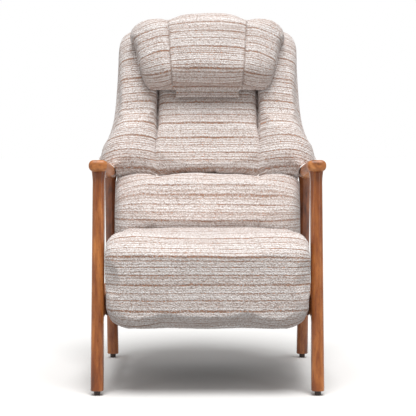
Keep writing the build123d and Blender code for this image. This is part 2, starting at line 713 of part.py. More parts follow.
rod_pin_tip_gap = washer_thickness / 2
with BuildPart() as leg_rest_rod_pins:
    for side, sign in SIDES:
        tip_x = rod_outer_x + rod_pin_tip_gap
        round_across(sign * tip_x, sign * arm_plate_outer_x, leg_lever_y, leg_lever_z, rail_bolt_radius)
leg_rest_rod_pins.part.label = "leg_rest_rod_pins"
export_step(leg_rest_rod_pins.part, "parts/leg_rest_rod_pins.step")

for side, sign in SIDES:
    with BuildPart() as leg_rest_arm:
        with BuildSketch(Plane.YZ.offset(sign * arm_plate_inner_x)):
            link_bar((leg_hinge_y, leg_hinge_z), (leg_lever_y, leg_lever_z), link_bar_width)
            knee = (board_y, leg_board_top_z - leg_arm_width)
            link_bar((leg_hinge_y, leg_hinge_z), knee, leg_arm_width)
            link_bar(knee, (board_y, board_bottom_z + leg_arm_width), leg_arm_width)
            with Locations((leg_hinge_y, leg_hinge_z)):
                Circle(link_hub_width / 2)
        extrude(amount=sign * link_thickness)
        hole = pin_radius + pin_running_gap
        face_a, face_b = sign * arm_plate_inner_x, sign * arm_plate_outer_x
        round_across(face_a, face_b, leg_hinge_y, leg_hinge_z, hole, mode=Mode.SUBTRACT)
        add(leg_rest_rod_pins.part, mode=Mode.SUBTRACT)
        add(leg_rest_screws.part, mode=Mode.SUBTRACT)
    leg_rest_arm.part.label = f"{side}_leg_rest_arm"
    export_step(leg_rest_arm.part, f"parts/{side}_leg_rest_arm.step")

# Screws that join the steel back arms to the stiles
with BuildPart() as back_arm_screws:
    for side, sign in SIDES:
        for share in BACK_SCREW_SHARES:
            y, z = on_back(mix(stile_bottom_up, lumbar_top_up, share), stile_middle)
            tip_x = arm_plate_outer_x - screw_length
            round_across(sign * arm_plate_outer_x, sign * tip_x, y, z, screw_radius)
back_arm_screws.part.label = "back_arm_screws"
export_step(back_arm_screws.part, "parts/back_arm_screws.step")

# Pins at the lower ends of the back arms, on which the push rods turn
with BuildPart() as back_rod_pins:
    for side, sign in SIDES:
        inner_x = rod_inner_x
        round_across(sign * inner_x, sign * arm_plate_outer_x, back_lever_y, back_lever_z, rail_bolt_radius)
        head_x = inner_x - screw_head_height
        round_across(sign * head_x, sign * inner_x, back_lever_y, back_lever_z, rail_bolt_head_radius)
back_rod_pins.part.label = "back_rod_pins"
export_step(back_rod_pins.part, "parts/back_rod_pins.step")

# Steel back arms: each stile stands on one, and its lower end is the lever of the push rod.
for side, sign in SIDES:
    with BuildPart() as back_arm:
        low = on_back(mix(stile_bottom_up, lumbar_top_up, BACK_SCREW_SHARES[0]), stile_middle)
        high = on_back(mix(stile_bottom_up, lumbar_top_up, BACK_SCREW_SHARES[1]), stile_middle)
        with BuildSketch(Plane.YZ.offset(sign * arm_plate_inner_x)):
            link_bar((back_pivot_y, back_pivot_z), (back_lever_y, back_lever_z), link_bar_width)
            link_bar((back_pivot_y, back_pivot_z), low, link_hub_width)
            link_bar(low, high, link_hub_width)
        extrude(amount=sign * link_thickness)
        hole = pin_radius + pin_running_gap
        face_a, face_b = sign * arm_plate_inner_x, sign * arm_plate_outer_x
        round_across(face_a, face_b, back_pivot_y, back_pivot_z, hole, mode=Mode.SUBTRACT)
        add(back_rod_pins.part, mode=Mode.SUBTRACT)
        add(back_arm_screws.part, mode=Mode.SUBTRACT)
    back_arm.part.label = f"{side}_back_arm"
    export_step(back_arm.part, f"parts/{side}_back_arm.step")

# Push rods: flat bars that turn on the back arms' pins and end beside the leg rest's pins.
for side, sign in SIDES:
    with BuildPart() as push_rod:
        with BuildSketch(Plane.YZ.offset(sign * rod_inner_x)):
            link_bar((back_lever_y, back_lever_z), (leg_lever_y, leg_lever_z), link_bar_width)
        extrude(amount=sign * link_thickness)
        hole = rail_bolt_radius + pin_running_gap
        face_a, face_b = sign * rod_inner_x, sign * rod_outer_x
        round_across(face_a, face_b, back_lever_y, back_lever_z, hole, mode=Mode.SUBTRACT)
        round_across(face_a, face_b, leg_lever_y, leg_lever_z, hole, mode=Mode.SUBTRACT)
    push_rod.part.label = f"{side}_push_rod"
    export_step(push_rod.part, f"parts/{side}_push_rod.step")

# Back frame: two stiles and three rails of wood
for side, sign in SIDES:
    with BuildPart() as back_stile:
        with BuildSketch(facing_back(stile_rear)):
            middle_x = sign * (stile_inner_x + stile_outer_x) / 2
            with Locations((middle_x, (stile_bottom_up + stile_top_up) / 2)):
                Rectangle(stile_width, stile_top_up - stile_bottom_up)
        extrude(amount=stile_front - stile_rear)
        add(back_arm_screws.part, mode=Mode.SUBTRACT)
    back_stile.part.label = f"{side}_back_stile"
    export_step(back_stile.part, f"parts/{side}_back_stile.step")

BACK_RAILS = (
    ("back_bottom_rail", stile_bottom_up + back_rail_height / 2),
    ("back_middle_rail", middle_back_rail_up),
    ("back_top_rail", stile_top_up - back_rail_height / 2),
)
for rail_name, rail_up in BACK_RAILS:
    with BuildPart() as back_rail:
        with BuildSketch(facing_back(stile_rear)):
            with Locations((0, rail_up)):
                Rectangle(2 * stile_inner_x, back_rail_height)
        extrude(amount=stile_front - stile_rear)
    back_rail.part.label = rail_name
    export_step(back_rail.part, f"parts/{rail_name}.step")

# Back springs run across between the stiles, held by clips on the stiles' front faces.
back_spring_out = stile_front + spring_wire_radius
back_spring_span = 2 * stile_inner_x + stile_width
back_spring_turns = int(back_spring_span / spring_pitch)
with BuildPart() as back_springs:
    for up in back_spring_ups:
        y, z = on_back(up, back_spring_out)
        crosswise = Plane(origin=(0, y, z), x_dir=(0, up_y, up_z), z_dir=(0, -up_z, up_y))
        add(sinuous_spring(crosswise, back_spring_span))
back_springs.part.label = "back_springs"
export_step(back_springs.part, "parts/back_springs.step")

with BuildPart() as back_spring_clips:
    for up in back_spring_ups:
        for side, sign in SIDES:
            x = sign * back_spring_turns * spring_pitch / 2
            half_x, half_up = clip_width / 2, clip_length / 2
            back_block(x - half_x, x + half_x, up - half_up, up + half_up,
                       stile_front, stile_front + clip_height)
            back_block(x - clip_room / 2, x + clip_room / 2, up - clip_length, up + clip_length,
                       stile_rear, stile_front + clip_room, mode=Mode.SUBTRACT)
back_spring_clips.part.label = "back_spring_clips"
export_step(back_spring_clips.part, "parts/back_spring_clips.step")


def wing_half_at(share):
    """Half width of the back at a share of the wings' height."""
    for low, high in zip(WING_SHARES, WING_SHARES[1:]):
        if low[0] <= share <= high[0]:
            return wing_half_width * mix(low[1], high[1], (share - low[0]) / (high[0] - low[0]))
    return wing_half_width * WING_SHARES[-1][1]


def cut_room_for_arms():
    """Takes away what would lie beside or below the armrests."""
    arm_side_x = back_half_width
    far_x = arm_side_x + wing_half_width
    for side, sign in SIDES:
        block(sign * arm_side_x, sign * far_x, arm_front_y, arm_rear_y + arm_front_width, 0, arm_clear_z,
              mode=Mode.SUBTRACT)


# Wing cores: laminated wood glued to the stiles, which carry the wings out over the arms.
wing_height = back_top_up - wing_bottom_up
arm_clear_up = (arm_clear_z - back_face_z - shell_rear * up_y) / up_z
wing_core_bottom_up = arm_clear_up + seam_gap


def wing_edge(inset, from_up, to_up):
    """Points of the back's side edge between two heights, drawn in by an inset."""
    from_share = (from_up - wing_bottom_up) / wing_height
    to_share = (to_up - wing_bottom_up) / wing_height
    shares = [from_share] + [row[0] for row in WING_SHARES if from_share < row[0] < to_share] + [to_share]
    return [(wing_half_at(share) - inset, wing_bottom_up + share * wing_height) for share in shares]


with BuildPart() as wing_cores:
    with BuildSketch(facing_back(stile_front - wing_core_thickness)):
        with BuildLine():
            edge = wing_edge(shell_wall + wing_core_inset, wing_core_bottom_up, stile_top_up)
            Spline(*edge)
            Polyline(edge[-1], (stile_outer_x, stile_top_up), (stile_outer_x, wing_core_bottom_up), edge[0])
        make_face()
        mirror(about=Plane.YZ)
    extrude(amount=wing_core_thickness)
wing_cores.part.label = "wing_cores"
export_step(wing_cores.part, "parts/wing_cores.step")

# Rear shell: the closed outside back, a tray whose walls reach forward to the pads.
with BuildPart() as rear_shell:
    with BuildSketch(facing_back(shell_rear)):
        with BuildLine():
            edge = wing_edge(0, wing_bottom_up, back_top_up)
            Polyline((0, shell_bottom_up), (back_half_width, shell_bottom_up),
                     (back_half_width, wing_bottom_up), edge[0])
            Spline(*edge)
            Line(edge[-1], (0, back_top_up))
            mirror(about=Plane.YZ)
        make_face()
    extrude(amount=shell_front - shell_rear)
    cut_room_for_arms()
    rear_face = rear_shell.faces().sort_by(Axis((0, 0, 0), (0, up_z, -up_y)))[-1]
    fillet(rear_face.edges(), shell_edge)
    with BuildSketch(facing_back(shell_rear + shell_floor)):
        with BuildLine():
            edge = wing_edge(shell_wall, arm_clear_up, back_top_up - shell_wall)
            lower_x = back_half_width - shell_wall
            # the tray is open below, where the back arms come out
            open_up = shell_bottom_up - shell_wall
            Polyline((0, open_up), (lower_x, open_up), (lower_x, arm_clear_up), edge[0])
            Spline(*edge)
            Line(edge[-1], (0, back_top_up - shell_wall))
            mirror(about=Plane.YZ)
        make_face()
    extrude(amount=shell_front - shell_rear, mode=Mode.SUBTRACT)
rear_shell.part.label = "rear_shell"
export_step(rear_shell.part, "parts/rear_shell.step")

# Centre panel of the back, sewn between two upright seams
with BuildPart() as centre_back_panel:
    panel_bottom_up = lumbar_top_up + 2 * seam_gap
    for height_share, full in PANEL_SHARES:
        up = mix(panel_bottom_up, back_top_up, height_share)
        half_x = back_seam_x - seam_gap
        crown = mix(pad_rear * SEAM_SHARE + seam_gap, pad_front, full)
        rim = mix(pad_rear * SEAM_SHARE, 0, full)
        with BuildSketch(across_back(up)):
            with BuildLine():
                Polyline((half_x, rim), (half_x, pad_rear), (-half_x, pad_rear), (-half_x, rim))
                ThreePointArc((-half_x, rim), (0, crown), (half_x, rim))
            make_face()
    loft()
    far = 2 * wing_half_width
    back_block(-far, far, wing_bottom_up, far, pad_front, far, mode=Mode.SUBTRACT)
centre_back_panel.part.label = "centre_back_panel"
export_step(centre_back_panel.part, "parts/centre_back_panel.step")

# Wing pads: they flare out over the arms and narrow towards the head.
for side, sign in SIDES:
    with BuildPart() as wing_pad:
        for height_share, half_share, lift_share, full in WING_SHARES:
            up = wing_bottom_up + height_share * wing_height
            inner_x = sign * back_seam_x
            outer_x = sign * wing_half_width * half_share
            rim = mix(pad_rear * SEAM_SHARE, 0, full)
            crown = mix(pad_rear * SEAM_SHARE, pad_front + wing_lift * lift_share, full)
            side_rim = mix(pad_rear * SEAM_SHARE * 2, pad_rear * SEAM_SHARE, full)
            with BuildSketch(across_back(up)):
                with BuildLine():
                    Polyline((inner_x, rim), (inner_x, pad_rear), (outer_x, pad_rear), (outer_x, side_rim))
                    ThreePointArc((outer_x, side_rim), (mix(inner_x, outer_x, 0.5), crown), (inner_x, rim))
                make_face()
        loft()
        cut_room_for_arms()
        back_block(-far, far, strap_rear_bottom_up, far, pad_front, far, mode=Mode.SUBTRACT)
    wing_pad.part.label = f"{side}_wing_pad"
    export_step(wing_pad.part, f"parts/{side}_wing_pad.step")

# Lumbar roll: a full-width roll between the seat and the panels above it
with BuildPart() as lumbar_roll:
    for across_share, full in FULL_SHARES:
        x = across_share * (back_half_width - seam_gap)
        edge = 1 - full
        low = back_bottom_up + edge * lumbar_lift
        high = lumbar_top_up - edge * (lumbar_top_up - wing_bottom_up) - seam_gap
        rim = mix(pad_rear * SEAM_SHARE, 0, full)
        crown = mix(pad_rear * SEAM_SHARE + seam_gap, pad_front + lumbar_lift, full)
        with BuildSketch(along_back(x)):
            with BuildLine():
                Polyline((high, rim), (high, pad_rear), (low, pad_rear), (low, rim))
                ThreePointArc((low, rim), ((low + high) / 2, crown), (high, rim))
            make_face()
    loft()
    for side, sign in SIDES:
        crease_up = wing_bottom_up - seam_gap
        back_block(sign * (back_seam_x - seam_gap), sign * far, crease_up, far, pad_rear * 2, far,
                   mode=Mode.SUBTRACT)
    back_block(-far, far, lumbar_top_up, far, pad_rear * 2, far, mode=Mode.SUBTRACT)
lumbar_roll.part.label = "lumbar_roll"
export_step(lumbar_roll.part, "parts/lumbar_roll.step")

# Head pillow of three sewn panels
with BuildPart() as head_pillow:
    for height_share, half_share, seam_share, full in PILLOW_SHARES:
        up = mix(pillow_bottom_up, pillow_top_up, height_share)
        half_x = pillow_half_width * half_share
        seam_x = pillow_seam_x * seam_share
        rim = mix(pillow_rear, pillow_front, mix(SEAM_SHARE, 0.5, full))
        seam = mix(rim, pillow_front - seam_depth, full)
        crown = mix(rim + seam_gap, pillow_front, full)
        side_crown = mix(rim + seam_gap, pillow_front - seam_depth / 4, full)
        side_x = (half_x + seam_x) / 2
        with BuildSketch(across_back(up)):
            with BuildLine():
                Polyline((half_x, rim), (half_x, pillow_rear), (-half_x, pillow_rear), (-half_x, rim))
                ThreePointArc((-half_x, rim), (-side_x, side_crown), (-seam_x, seam))
                ThreePointArc((-seam_x, seam), (0, crown), (seam_x, seam))
                ThreePointArc((seam_x, seam), (side_x, side_crown), (half_x, rim))
            make_face()
    loft()
head_pillow.part.label = "head_pillow"
export_step(head_pillow.part, "parts/head_pillow.step")

# Tab of the strap that shows below the pillow
with BuildPart() as strap_tab:
    with BuildSketch(facing_back(strap_near)):
        with Locations((0, (tab_bottom_up + tab_top_up) / 2)):
            Rectangle(2 * strap_half_width, tab_top_up - tab_bottom_up)
    extrude(amount=strap_thickness)
strap_tab.part.label = "strap_tab"
export_step(strap_tab.part, "parts/strap_tab.step")

# Strap that runs from behind the pillow over the top of the back and down to the counterweight
with BuildPart() as pillow_strap:
    with BuildSketch(along_back(-strap_half_width)):
        with BuildLine():
            half = strap_thickness / 2
            top_up = back_top_up + soft_gap + half
            FilletPolyline((strap_bottom_up, strap_near + half), (top_up, strap_near + half),
                           (top_up, strap_rear_near - half), (strap_rear_bottom_up, strap_rear_near - half),
                           radius=strap_bend)
        trace(line_width=strap_thickness)
    extrude(amount=2 * strap_half_width)
pillow_strap.part.label = "pillow_strap"
export_step(pillow_strap.part, "parts/pillow_strap.step")

# Counterweight: a flat steel bar sewn into a pouch at the strap's rear end
with BuildPart() as counterweight_bar:
    with BuildSketch(facing_back(pouch_front - (pouch_thickness + weight_thickness) / 2)):
        with Locations((0, (pouch_bottom_up + pouch_top_up) / 2)):
            Rectangle(weight_width, weight_height)
    extrude(amount=weight_thickness)
counterweight_bar.part.label = "counterweight_bar"
export_step(counterweight_bar.part, "parts/counterweight_bar.step")

with BuildPart() as counterweight_pouch:
    with BuildSketch(facing_back(pouch_front - pouch_thickness)):
        with Locations((0, (pouch_bottom_up + pouch_top_up) / 2)):
            RectangleRounded(2 * pouch_half_width, pouch_top_up - pouch_bottom_up, pouch_edge)
    extrude(amount=pouch_thickness)
    rear_face = counterweight_pouch.faces().sort_by(Axis.Y)[-1]
    fillet(rear_face.edges(), pouch_edge * 2 / 3)
    add(counterweight_bar.part, mode=Mode.SUBTRACT)
counterweight_pouch.part.label = "counterweight_pouch"
export_step(counterweight_pouch.part, "parts/counterweight_pouch.step")
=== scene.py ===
"""Push-back recliner between two wooden side frames: its finishes and soft covers, in metres."""

import json
import math

import bmesh
import bpy
import numpy as np
from mathutils import Matrix, Vector
from mathutils.bvhtree import BVHTree


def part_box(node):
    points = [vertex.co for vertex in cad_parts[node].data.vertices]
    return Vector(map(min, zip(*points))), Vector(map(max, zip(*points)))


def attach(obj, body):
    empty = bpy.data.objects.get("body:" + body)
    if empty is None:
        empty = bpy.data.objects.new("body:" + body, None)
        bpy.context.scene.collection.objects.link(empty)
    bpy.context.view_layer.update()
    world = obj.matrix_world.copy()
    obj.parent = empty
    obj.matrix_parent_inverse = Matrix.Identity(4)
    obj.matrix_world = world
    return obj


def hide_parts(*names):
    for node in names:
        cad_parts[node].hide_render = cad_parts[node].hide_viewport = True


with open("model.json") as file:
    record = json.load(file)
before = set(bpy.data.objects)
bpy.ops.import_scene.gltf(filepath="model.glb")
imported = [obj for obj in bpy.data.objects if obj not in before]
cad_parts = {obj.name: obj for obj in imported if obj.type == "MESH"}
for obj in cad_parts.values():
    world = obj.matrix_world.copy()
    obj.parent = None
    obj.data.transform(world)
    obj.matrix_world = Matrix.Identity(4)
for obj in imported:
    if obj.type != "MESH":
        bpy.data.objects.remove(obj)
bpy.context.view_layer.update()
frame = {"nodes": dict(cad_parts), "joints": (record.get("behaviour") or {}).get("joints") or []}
bpy.ops.object.select_all(action="DESELECT")


# Side frames: two sculpted arms on four slanted legs, with a rail low between each pair of legs.
# Solid hardwood stained a warm brown and lacquered satin; dowelled and glued.
def srgb(red, green, blue):
    """A colour as a maker reads it from a swatch, turned into the renderer's linear values."""
    steps = [value / 255 for value in (red, green, blue)]
    return tuple(s / 12.92 if s <= 0.04045 else ((s + 0.055) / 1.055) ** 2.4 for s in steps) + (1.0,)


class Wire:
    """One output of a finish's nodes; sums and products of wires add Math nodes."""

    def __init__(self, finish, socket):
        self.finish = finish
        self.socket = socket

    def maths(self, operation, *values):
        """A Math node over these values, in their order."""
        return self.finish.node("ShaderNodeMath", {"operation": operation}, dict(enumerate(values)))

    def __add__(self, other):
        return self.maths("ADD", self, other)

    def __sub__(self, other):
        return self.maths("SUBTRACT", self, other)

    def __rsub__(self, other):
        return self.maths("SUBTRACT", other, self)

    def __mul__(self, other):
        return self.maths("MULTIPLY", self, other)

    __radd__ = __add__
    __rmul__ = __mul__

    def __abs__(self):
        return self.maths("ABSOLUTE", self)

    def fraction(self):
        """What is left past the last whole number."""
        return self.maths("FRACT", self)

    def at_most(self, most):
        """This wire where it is under most, and most elsewhere."""
        return self.maths("MINIMUM", self, most)

    def rise(self, low, high):
        """0 below low, 1 above high and a soft step between them; it falls where high is lower."""
        settings = {"interpolation_type": "SMOOTHSTEP"}
        return self.finish.node("ShaderNodeMapRange", settings, {0: self, 1: low, 2: high})


class Finish:
    """A material in the making: its shader, and one way to add any other node."""

    def __init__(self, name, **constants):
        self.material = bpy.data.materials.new(name)
        self.material.use_nodes = True
        self.tree = self.material.node_tree
        self.shader = self.tree.nodes["Principled BSDF"]
        for words, value in constants.items():
            self.shader.inputs[words.replace("_", " ").title().replace("Ior", "IOR")].default_value = value

    def node(self, kind, settings, inputs, output=0):
        """Adds a node: its settings first, with a ramp's stops, then its sockets' values or wires."""
        node = self.tree.nodes.new(kind)
        for setting, value in settings.items():
            if setting != "stops":
                setattr(node, setting, value)
        for index, (position, colour) in enumerate(settings.get("stops", ())):
            elements = node.color_ramp.elements
            element = elements[index] if index < len(elements) else elements.new(position)
            element.position = position
            element.color = colour
        for socket, value in inputs.items():
            if isinstance(value, Wire):
                self.tree.links.new(value.socket, node.inputs[socket])
            else:
                node.inputs[socket].default_value = value
        return Wire(self, node.outputs[output])

    def place(self):
        """Where a point lies on its piece, in metres."""
        return self.node("ShaderNodeTexCoord", {}, {}, 3)

    def noise(self, place, scale, detail=2.0, distortion=0.0):
        """Soft random values from 0 to 1, a step of 1 / scale apart."""
        inputs = {"Vector": place, "Scale": scale, "Detail": detail, "Distortion": distortion}
        return self.node("ShaderNodeTexNoise", {}, inputs)

    def stretched(self, place, scale):
        """A place whose three directions are scaled one by one."""
        return self.node("ShaderNodeMapping", {}, {"Vector": place, "Scale": scale})

    def blend(self, share, first, second):
        """The first colour where share is 0, the second where it is 1."""
        return self.node("ShaderNodeMix", {"data_type": "RGBA"}, {0: share, 6: first, 7: second}, 2)

    def paint(self, colour, roughness, height=None, distance=0.001, strength=1.0):
        """Joins a colour, a roughness and a height to the shader."""
        self.tree.links.new(colour.socket, self.shader.inputs["Base Color"])
        self.tree.links.new(roughness.socket, self.shader.inputs["Roughness"])
        if height is not None:
            inputs = {"Height": height, "Distance": distance, "Strength": strength}
            bump = self.node("ShaderNodeBump", {}, inputs)
            self.tree.links.new(bump.socket, self.shader.inputs["Normal"])
        return self.material


def grain_scale(run, across, along):
    """Scales of a pattern that is drawn out along one of the axes 0, 1 or 2."""
    scale = [across, across, across]
    scale[run] = along
    return scale


def wood(name, run, light, middle, dark, gloss, coat):
    """Lacquered wood whose grain runs along one of the axes 0, 1 or 2."""
    finish = Finish(name, coat_weight=coat, coat_roughness=0.22)
    place = finish.place()
    figure = finish.noise(finish.stretched(place, grain_scale(run, 26.0, 1.7)), 1.0, 4.0, 0.9)
    streak = finish.noise(finish.stretched(place, grain_scale(run, 117.0, 7.65)), 1.0, 3.0, 0.3)
    pores = finish.noise(finish.stretched(place, grain_scale(run, 900.0, 28.0)), 1.0, 1.0)
    pores = pores.rise(0.58, 0.74)
    patches = finish.noise(place, 5.0, 2.0)
    tone = figure * 0.6 + streak * 0.28 + patches * 0.2
    stops = ((0.36, dark), (0.5, middle), (0.68, light))
    colour = finish.node("ShaderNodeValToRGB", {"stops": stops}, {0: tone})
    colour = finish.blend(pores * 0.45, colour, dark)
    roughness = pores * 0.18 + streak * 0.1 + gloss
    return finish.paint(colour, roughness, pores * -1.0 + streak * 0.4, 0.00025, 0.5)


def dress(material, *nodes):
    """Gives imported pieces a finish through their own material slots."""
    for name in nodes:
        for slot in frame["nodes"][name].material_slots:
            slot.material = material


# One wood in two copies: the legs take darker tones as painted shade on their upright faces, and the arms
# and rails take lighter tones as painted light from above.
shaded_leg_tones = (srgb(200, 124, 60), srgb(143, 75, 28), srgb(66, 31, 11))
lit_arm_tones = (srgb(226, 155, 92), srgb(184, 112, 55), srgb(112, 60, 24))
shaded_upright_wood = wood("lacquered_wood_upright", 2, *shaded_leg_tones, 0.24, 0.5)
lit_level_wood = wood("lacquered_wood_level", 1, *lit_arm_tones, 0.38, 0.15)
for side in ("left", "right"):
    dress(shaded_upright_wood, side + "_front_leg", side + "_rear_leg")
    dress(lit_level_wood, side + "_armrest", side + "_side_rail")

# Dowels, spacers and the seat box: beech boards glued and screwed into a box that hangs between
# the side frames, with triangular blocks in its corners. What shows past the pad is dark brown,
# partly a stain and partly painted shade for the shaded gap beside the pad; the rest is planed and left
# raw.
stain_and_shade_tones = (srgb(112, 68, 40), srgb(84, 48, 27), srgb(52, 29, 17))
level_stain_and_shade = wood("stained_beech_level", 1, *stain_and_shade_tones, 0.42, 0.0)
cross_stain_and_shade = wood("stained_beech_across", 0, *stain_and_shade_tones, 0.42, 0.0)
beech_tones = (srgb(226, 196, 156), srgb(212, 177, 133), srgb(176, 134, 92))
level_beech = wood("raw_beech_level", 1, *beech_tones, 0.55, 0.0)
cross_beech = wood("raw_beech_across", 0, *beech_tones, 0.55, 0.0)
upright_beech = wood("raw_beech_upright", 2, *beech_tones, 0.55, 0.0)
dress(level_stain_and_shade, "rail_spacers", "left_seat_box_side", "right_seat_box_side")
dress(cross_stain_and_shade, "seat_box_front_rail", "seat_box_rear_rail")
dress(level_beech, "frame_dowels")
dress(cross_beech, "seat_box_middle_rail")
dress(upright_beech, "corner_blocks")


# Steel plates, levers, rods, pins, bolts and screws: zinc-plated, with a faint yellow cast
# and a dull bloom where the plating is thin. Bolts and screws hold the seat box and plates.
def plated_steel(name, bright, dull, roughness):
    """Plated or blackened steel with a cloudy bloom and fine drawn lines."""
    finish = Finish(name, metallic=1.0)
    place = finish.place()
    bloom = finish.noise(place, 34.0, 4.0, 0.6)
    lines = finish.noise(finish.stretched(place, (90.0, 2200.0, 90.0)), 1.0, 2.0)
    colour = finish.blend(bloom.rise(0.35, 0.7), bright, dull)
    return finish.paint(colour, bloom * 0.22 + lines * 0.1 + roughness, lines, 0.0001, 0.35)


zinc = plated_steel("zinc_plate", srgb(196, 198, 196), srgb(158, 157, 148), 0.22)
dress(zinc, "rail_bolts", "rail_inserts", "plate_screws", "hinge_pins", "leg_rest_brackets")
dress(zinc, "back_pivot_plates", "pivot_washers", "leg_rest_screws", "leg_rest_rod_pins")
dress(zinc, "back_arm_screws", "back_rod_pins", "counterweight_bar", "spring_clips", "back_spring_clips")
for side in ("left", "right"):
    dress(zinc, side + "_leg_rest_arm", side + "_back_arm", side + "_push_rod")

# Zigzag springs across the seat box and the back frame: hard-drawn wire, dark from the mill,
# snapped under the clips at both ends.
mill_wire = plated_steel("mill_dark_wire", srgb(92, 92, 94), srgb(58, 54, 52), 0.3)
dress(mill_wire, "seat_springs", "back_springs")

# Glides under the feet: turned from dark brown plastic, and nailed into the end of each leg.
# Their faces are scuffed where they slide over the floor.
glide_finish = Finish("glide_plastic")
glide_place = glide_finish.place()
glide_scuffs = glide_finish.noise(glide_finish.stretched(glide_place, (260.0, 260.0, 900.0)), 1.0, 3.0)
glide_colour = glide_finish.blend(glide_scuffs.rise(0.5, 0.75), srgb(46, 31, 24), srgb(92, 70, 58))
glide_plastic = glide_finish.paint(glide_colour, glide_scuffs * 0.3 + 0.3, glide_scuffs, 0.0002, 0.5)
dress(glide_plastic, "leg_glides")


# Felt over the seat springs, which keeps the wire out of the foam, and the black cloth tacked
# under the box against dust.
def matted_cloth(name, light, dark, spacing):
    """Plain cloth or felt without a pile: a fine crossing weave and pressed fibres."""
    finish = Finish(name, specular_ior_level=0.2)
    place = finish.place()
    fibres = finish.noise(place, 0.4 / spacing, 4.0, 1.2)
    inputs = {"Vector": place, "Scale": 0.3 / spacing}
    weave = finish.node("ShaderNodeTexWave", {"bands_direction": "X"}, inputs)
    shade = fibres * 0.7 + weave * 0.3
    colour = finish.blend(shade.rise(0.2, 0.8), dark, light)
    return finish.paint(colour, shade * 0.1 + 0.85, shade, 0.0004, 0.6)


dress(matted_cloth("pressed_felt", srgb(150, 146, 140), srgb(104, 100, 96), 0.0016), "seat_felt")
dress(matted_cloth("dust_cloth", srgb(38, 37, 38), srgb(20, 19, 20), 0.0009), "dust_cover")

# Leg rest board: plywood behind the pad, screwed between the two steel arms. The back frame is
# beech too: two stiles, three rails, and laminated cores that carry the wings.
# The board takes the same dark brown: partly a stain, partly painted shade.
dress(cross_stain_and_shade, "leg_rest_board")
dress(cross_beech, "back_bottom_rail", "back_middle_rail", "back_top_rail")
dress(upright_beech, "left_back_stile", "right_back_stile", "wing_cores")


# Seat cushion: a crowned foam block under the striped cover, hollowed in front for the knee roll.
# It rests on the felt over the springs, and its cover is sewn along the top edge of each side.
cover_voxel = 0.0055
merge_distance = 1e-5
stuffing_steps, stuffing_pressure = 20, 4.0
smallest_move = 1e-9
loop_height = 0.0005
leg_to_cover = 0.0015
seat_low, seat_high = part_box("seat_cushion")
pad_low, pad_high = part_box("leg_rest_pad")
joint_places = {joint["name"]: joint["pos_m"] for joint in frame["joints"] if "pos_m" in joint}
hinge_y, hinge_z = joint_places["leg_rest_fold"][1:]
roll_radius = pad_high[2] - hinge_z
felt_holds, felt_frees = 0.004, 0.030
roll_holds, roll_frees = 0.003, 0.020
seat_spare_y, seat_spare_z = 0.003, 0.004
side_turn_x = 0.05
crest_round_from = 0.225
crest_round_drop = 0.014
seat_settle = Vector((0.0, 0.0, 0.006))


def cloth_loops(finish, cloth, size):
    """Boucle: small yarn loops, crowded and uneven, from two layers of round cells."""

    def cells(place):
        inputs = {"Vector": place, "Scale": 1 / size, "Randomness": 1.0}
        return finish.node("ShaderNodeTexVoronoi", {"feature": "F1"}, inputs)

    wide = finish.stretched(cloth, (0.62, 1.25, 1.0))
    return 1 - (cells(cloth) * 0.55 + cells(wide) * 0.55)


def striped_boucle():
    """Cream boucle crossed by rust and brown weft stripes, uneven in strength, with orange flecks."""
    finish = Finish("striped_boucle", sheen_weight=0.25, sheen_roughness=0.5, specular_ior_level=0.25)
    cloth = finish.node("ShaderNodeUVMap", {"uv_map": "cloth"}, {})
    along = finish.node("ShaderNodeSeparateXYZ", {}, {0: cloth}, 1)
    sway = finish.noise(finish.stretched(cloth, (9.0, 3.0, 1.0)), 1.0, 2.0) * 0.006
    spread = finish.noise(finish.stretched(cloth, (0.5, 22.0, 1.0)), 1.0, 1.0) * 0.022
    level = along + sway + spread
    grain = finish.noise(finish.stretched(cloth, (210.0, 420.0, 1.0)), 1.0, 2.0, 0.5)
    drift = finish.noise(finish.stretched(cloth, (9.0, 42.0, 1.0)), 1.0, 3.0)

    def stripes(pitch, width, shift):
        """Lines a pitch apart: 1 on a line, falling to 0 at its edges."""
        turns = level * (1 / pitch) + shift
        away = abs(turns.fraction() - 0.5)
        return away.rise(width / pitch, width / pitch * 0.3)

    yarn = grain.rise(0.34, 0.6)
    strong = stripes(0.0232, 0.0031, 0.1) * (drift * 1.5 - 0.1)
    second = stripes(0.0149, 0.0023, 0.4) * drift.rise(0.36, 0.66)
    thin = stripes(0.0077, 0.0022, 0.0) * (1.2 - drift) * 0.62
    band = stripes(0.061, 0.021, 0.3) * 0.12
    rust = (strong * 0.9 + second * 0.62 + thin) * (yarn * 0.75 + 0.25) + band
    rust = rust.at_most(1.0)

    loops = cloth_loops(finish, cloth, 0.0034)
    speck = finish.noise(finish.stretched(cloth, (330.0, 420.0, 1.0)), 1.0, 2.0, 0.8)
    cream = finish.blend(speck.rise(0.34, 0.6), srgb(204, 189, 181), srgb(253, 251, 250))
    # Painted shade in the gaps between the yarn loops.
    cream = finish.blend(loops.rise(0.45, 0.15) * 0.6, cream, srgb(156, 134, 124))
    brown = finish.blend(grain.rise(0.35, 0.6), srgb(116, 77, 54), srgb(158, 120, 96))
    colour = finish.blend(rust, cream, brown)
    fleck = finish.noise(finish.stretched(cloth, (230.0, 420.0, 1.0)), 1.0, 1.0).rise(0.63, 0.7)
    colour = finish.blend(fleck * rust.rise(0.2, 0.6), colour, srgb(212, 126, 66))
    # Painted shade: the cloth is darkened along the seams and the pulled crease, where the cover is drawn
    # in.
    seam = finish.node("ShaderNodeAttribute", {"attribute_name": "seam"}, {}, 2)
    colour = finish.blend(seam * 0.5, colour, srgb(120, 92, 76))
    height = loops + speck * 0.5 - rust * 0.2
    return finish.paint(colour, speck * 0.1 + 0.82, height, 0.0024, 0.85)


boucle = striped_boucle()


def places(piece):
    """Every vertex of a piece as one array of points."""
    points = np.empty(len(piece.data.vertices) * 3)
    piece.data.vertices.foreach_get("co", points)
    return points.reshape(-1, 3)


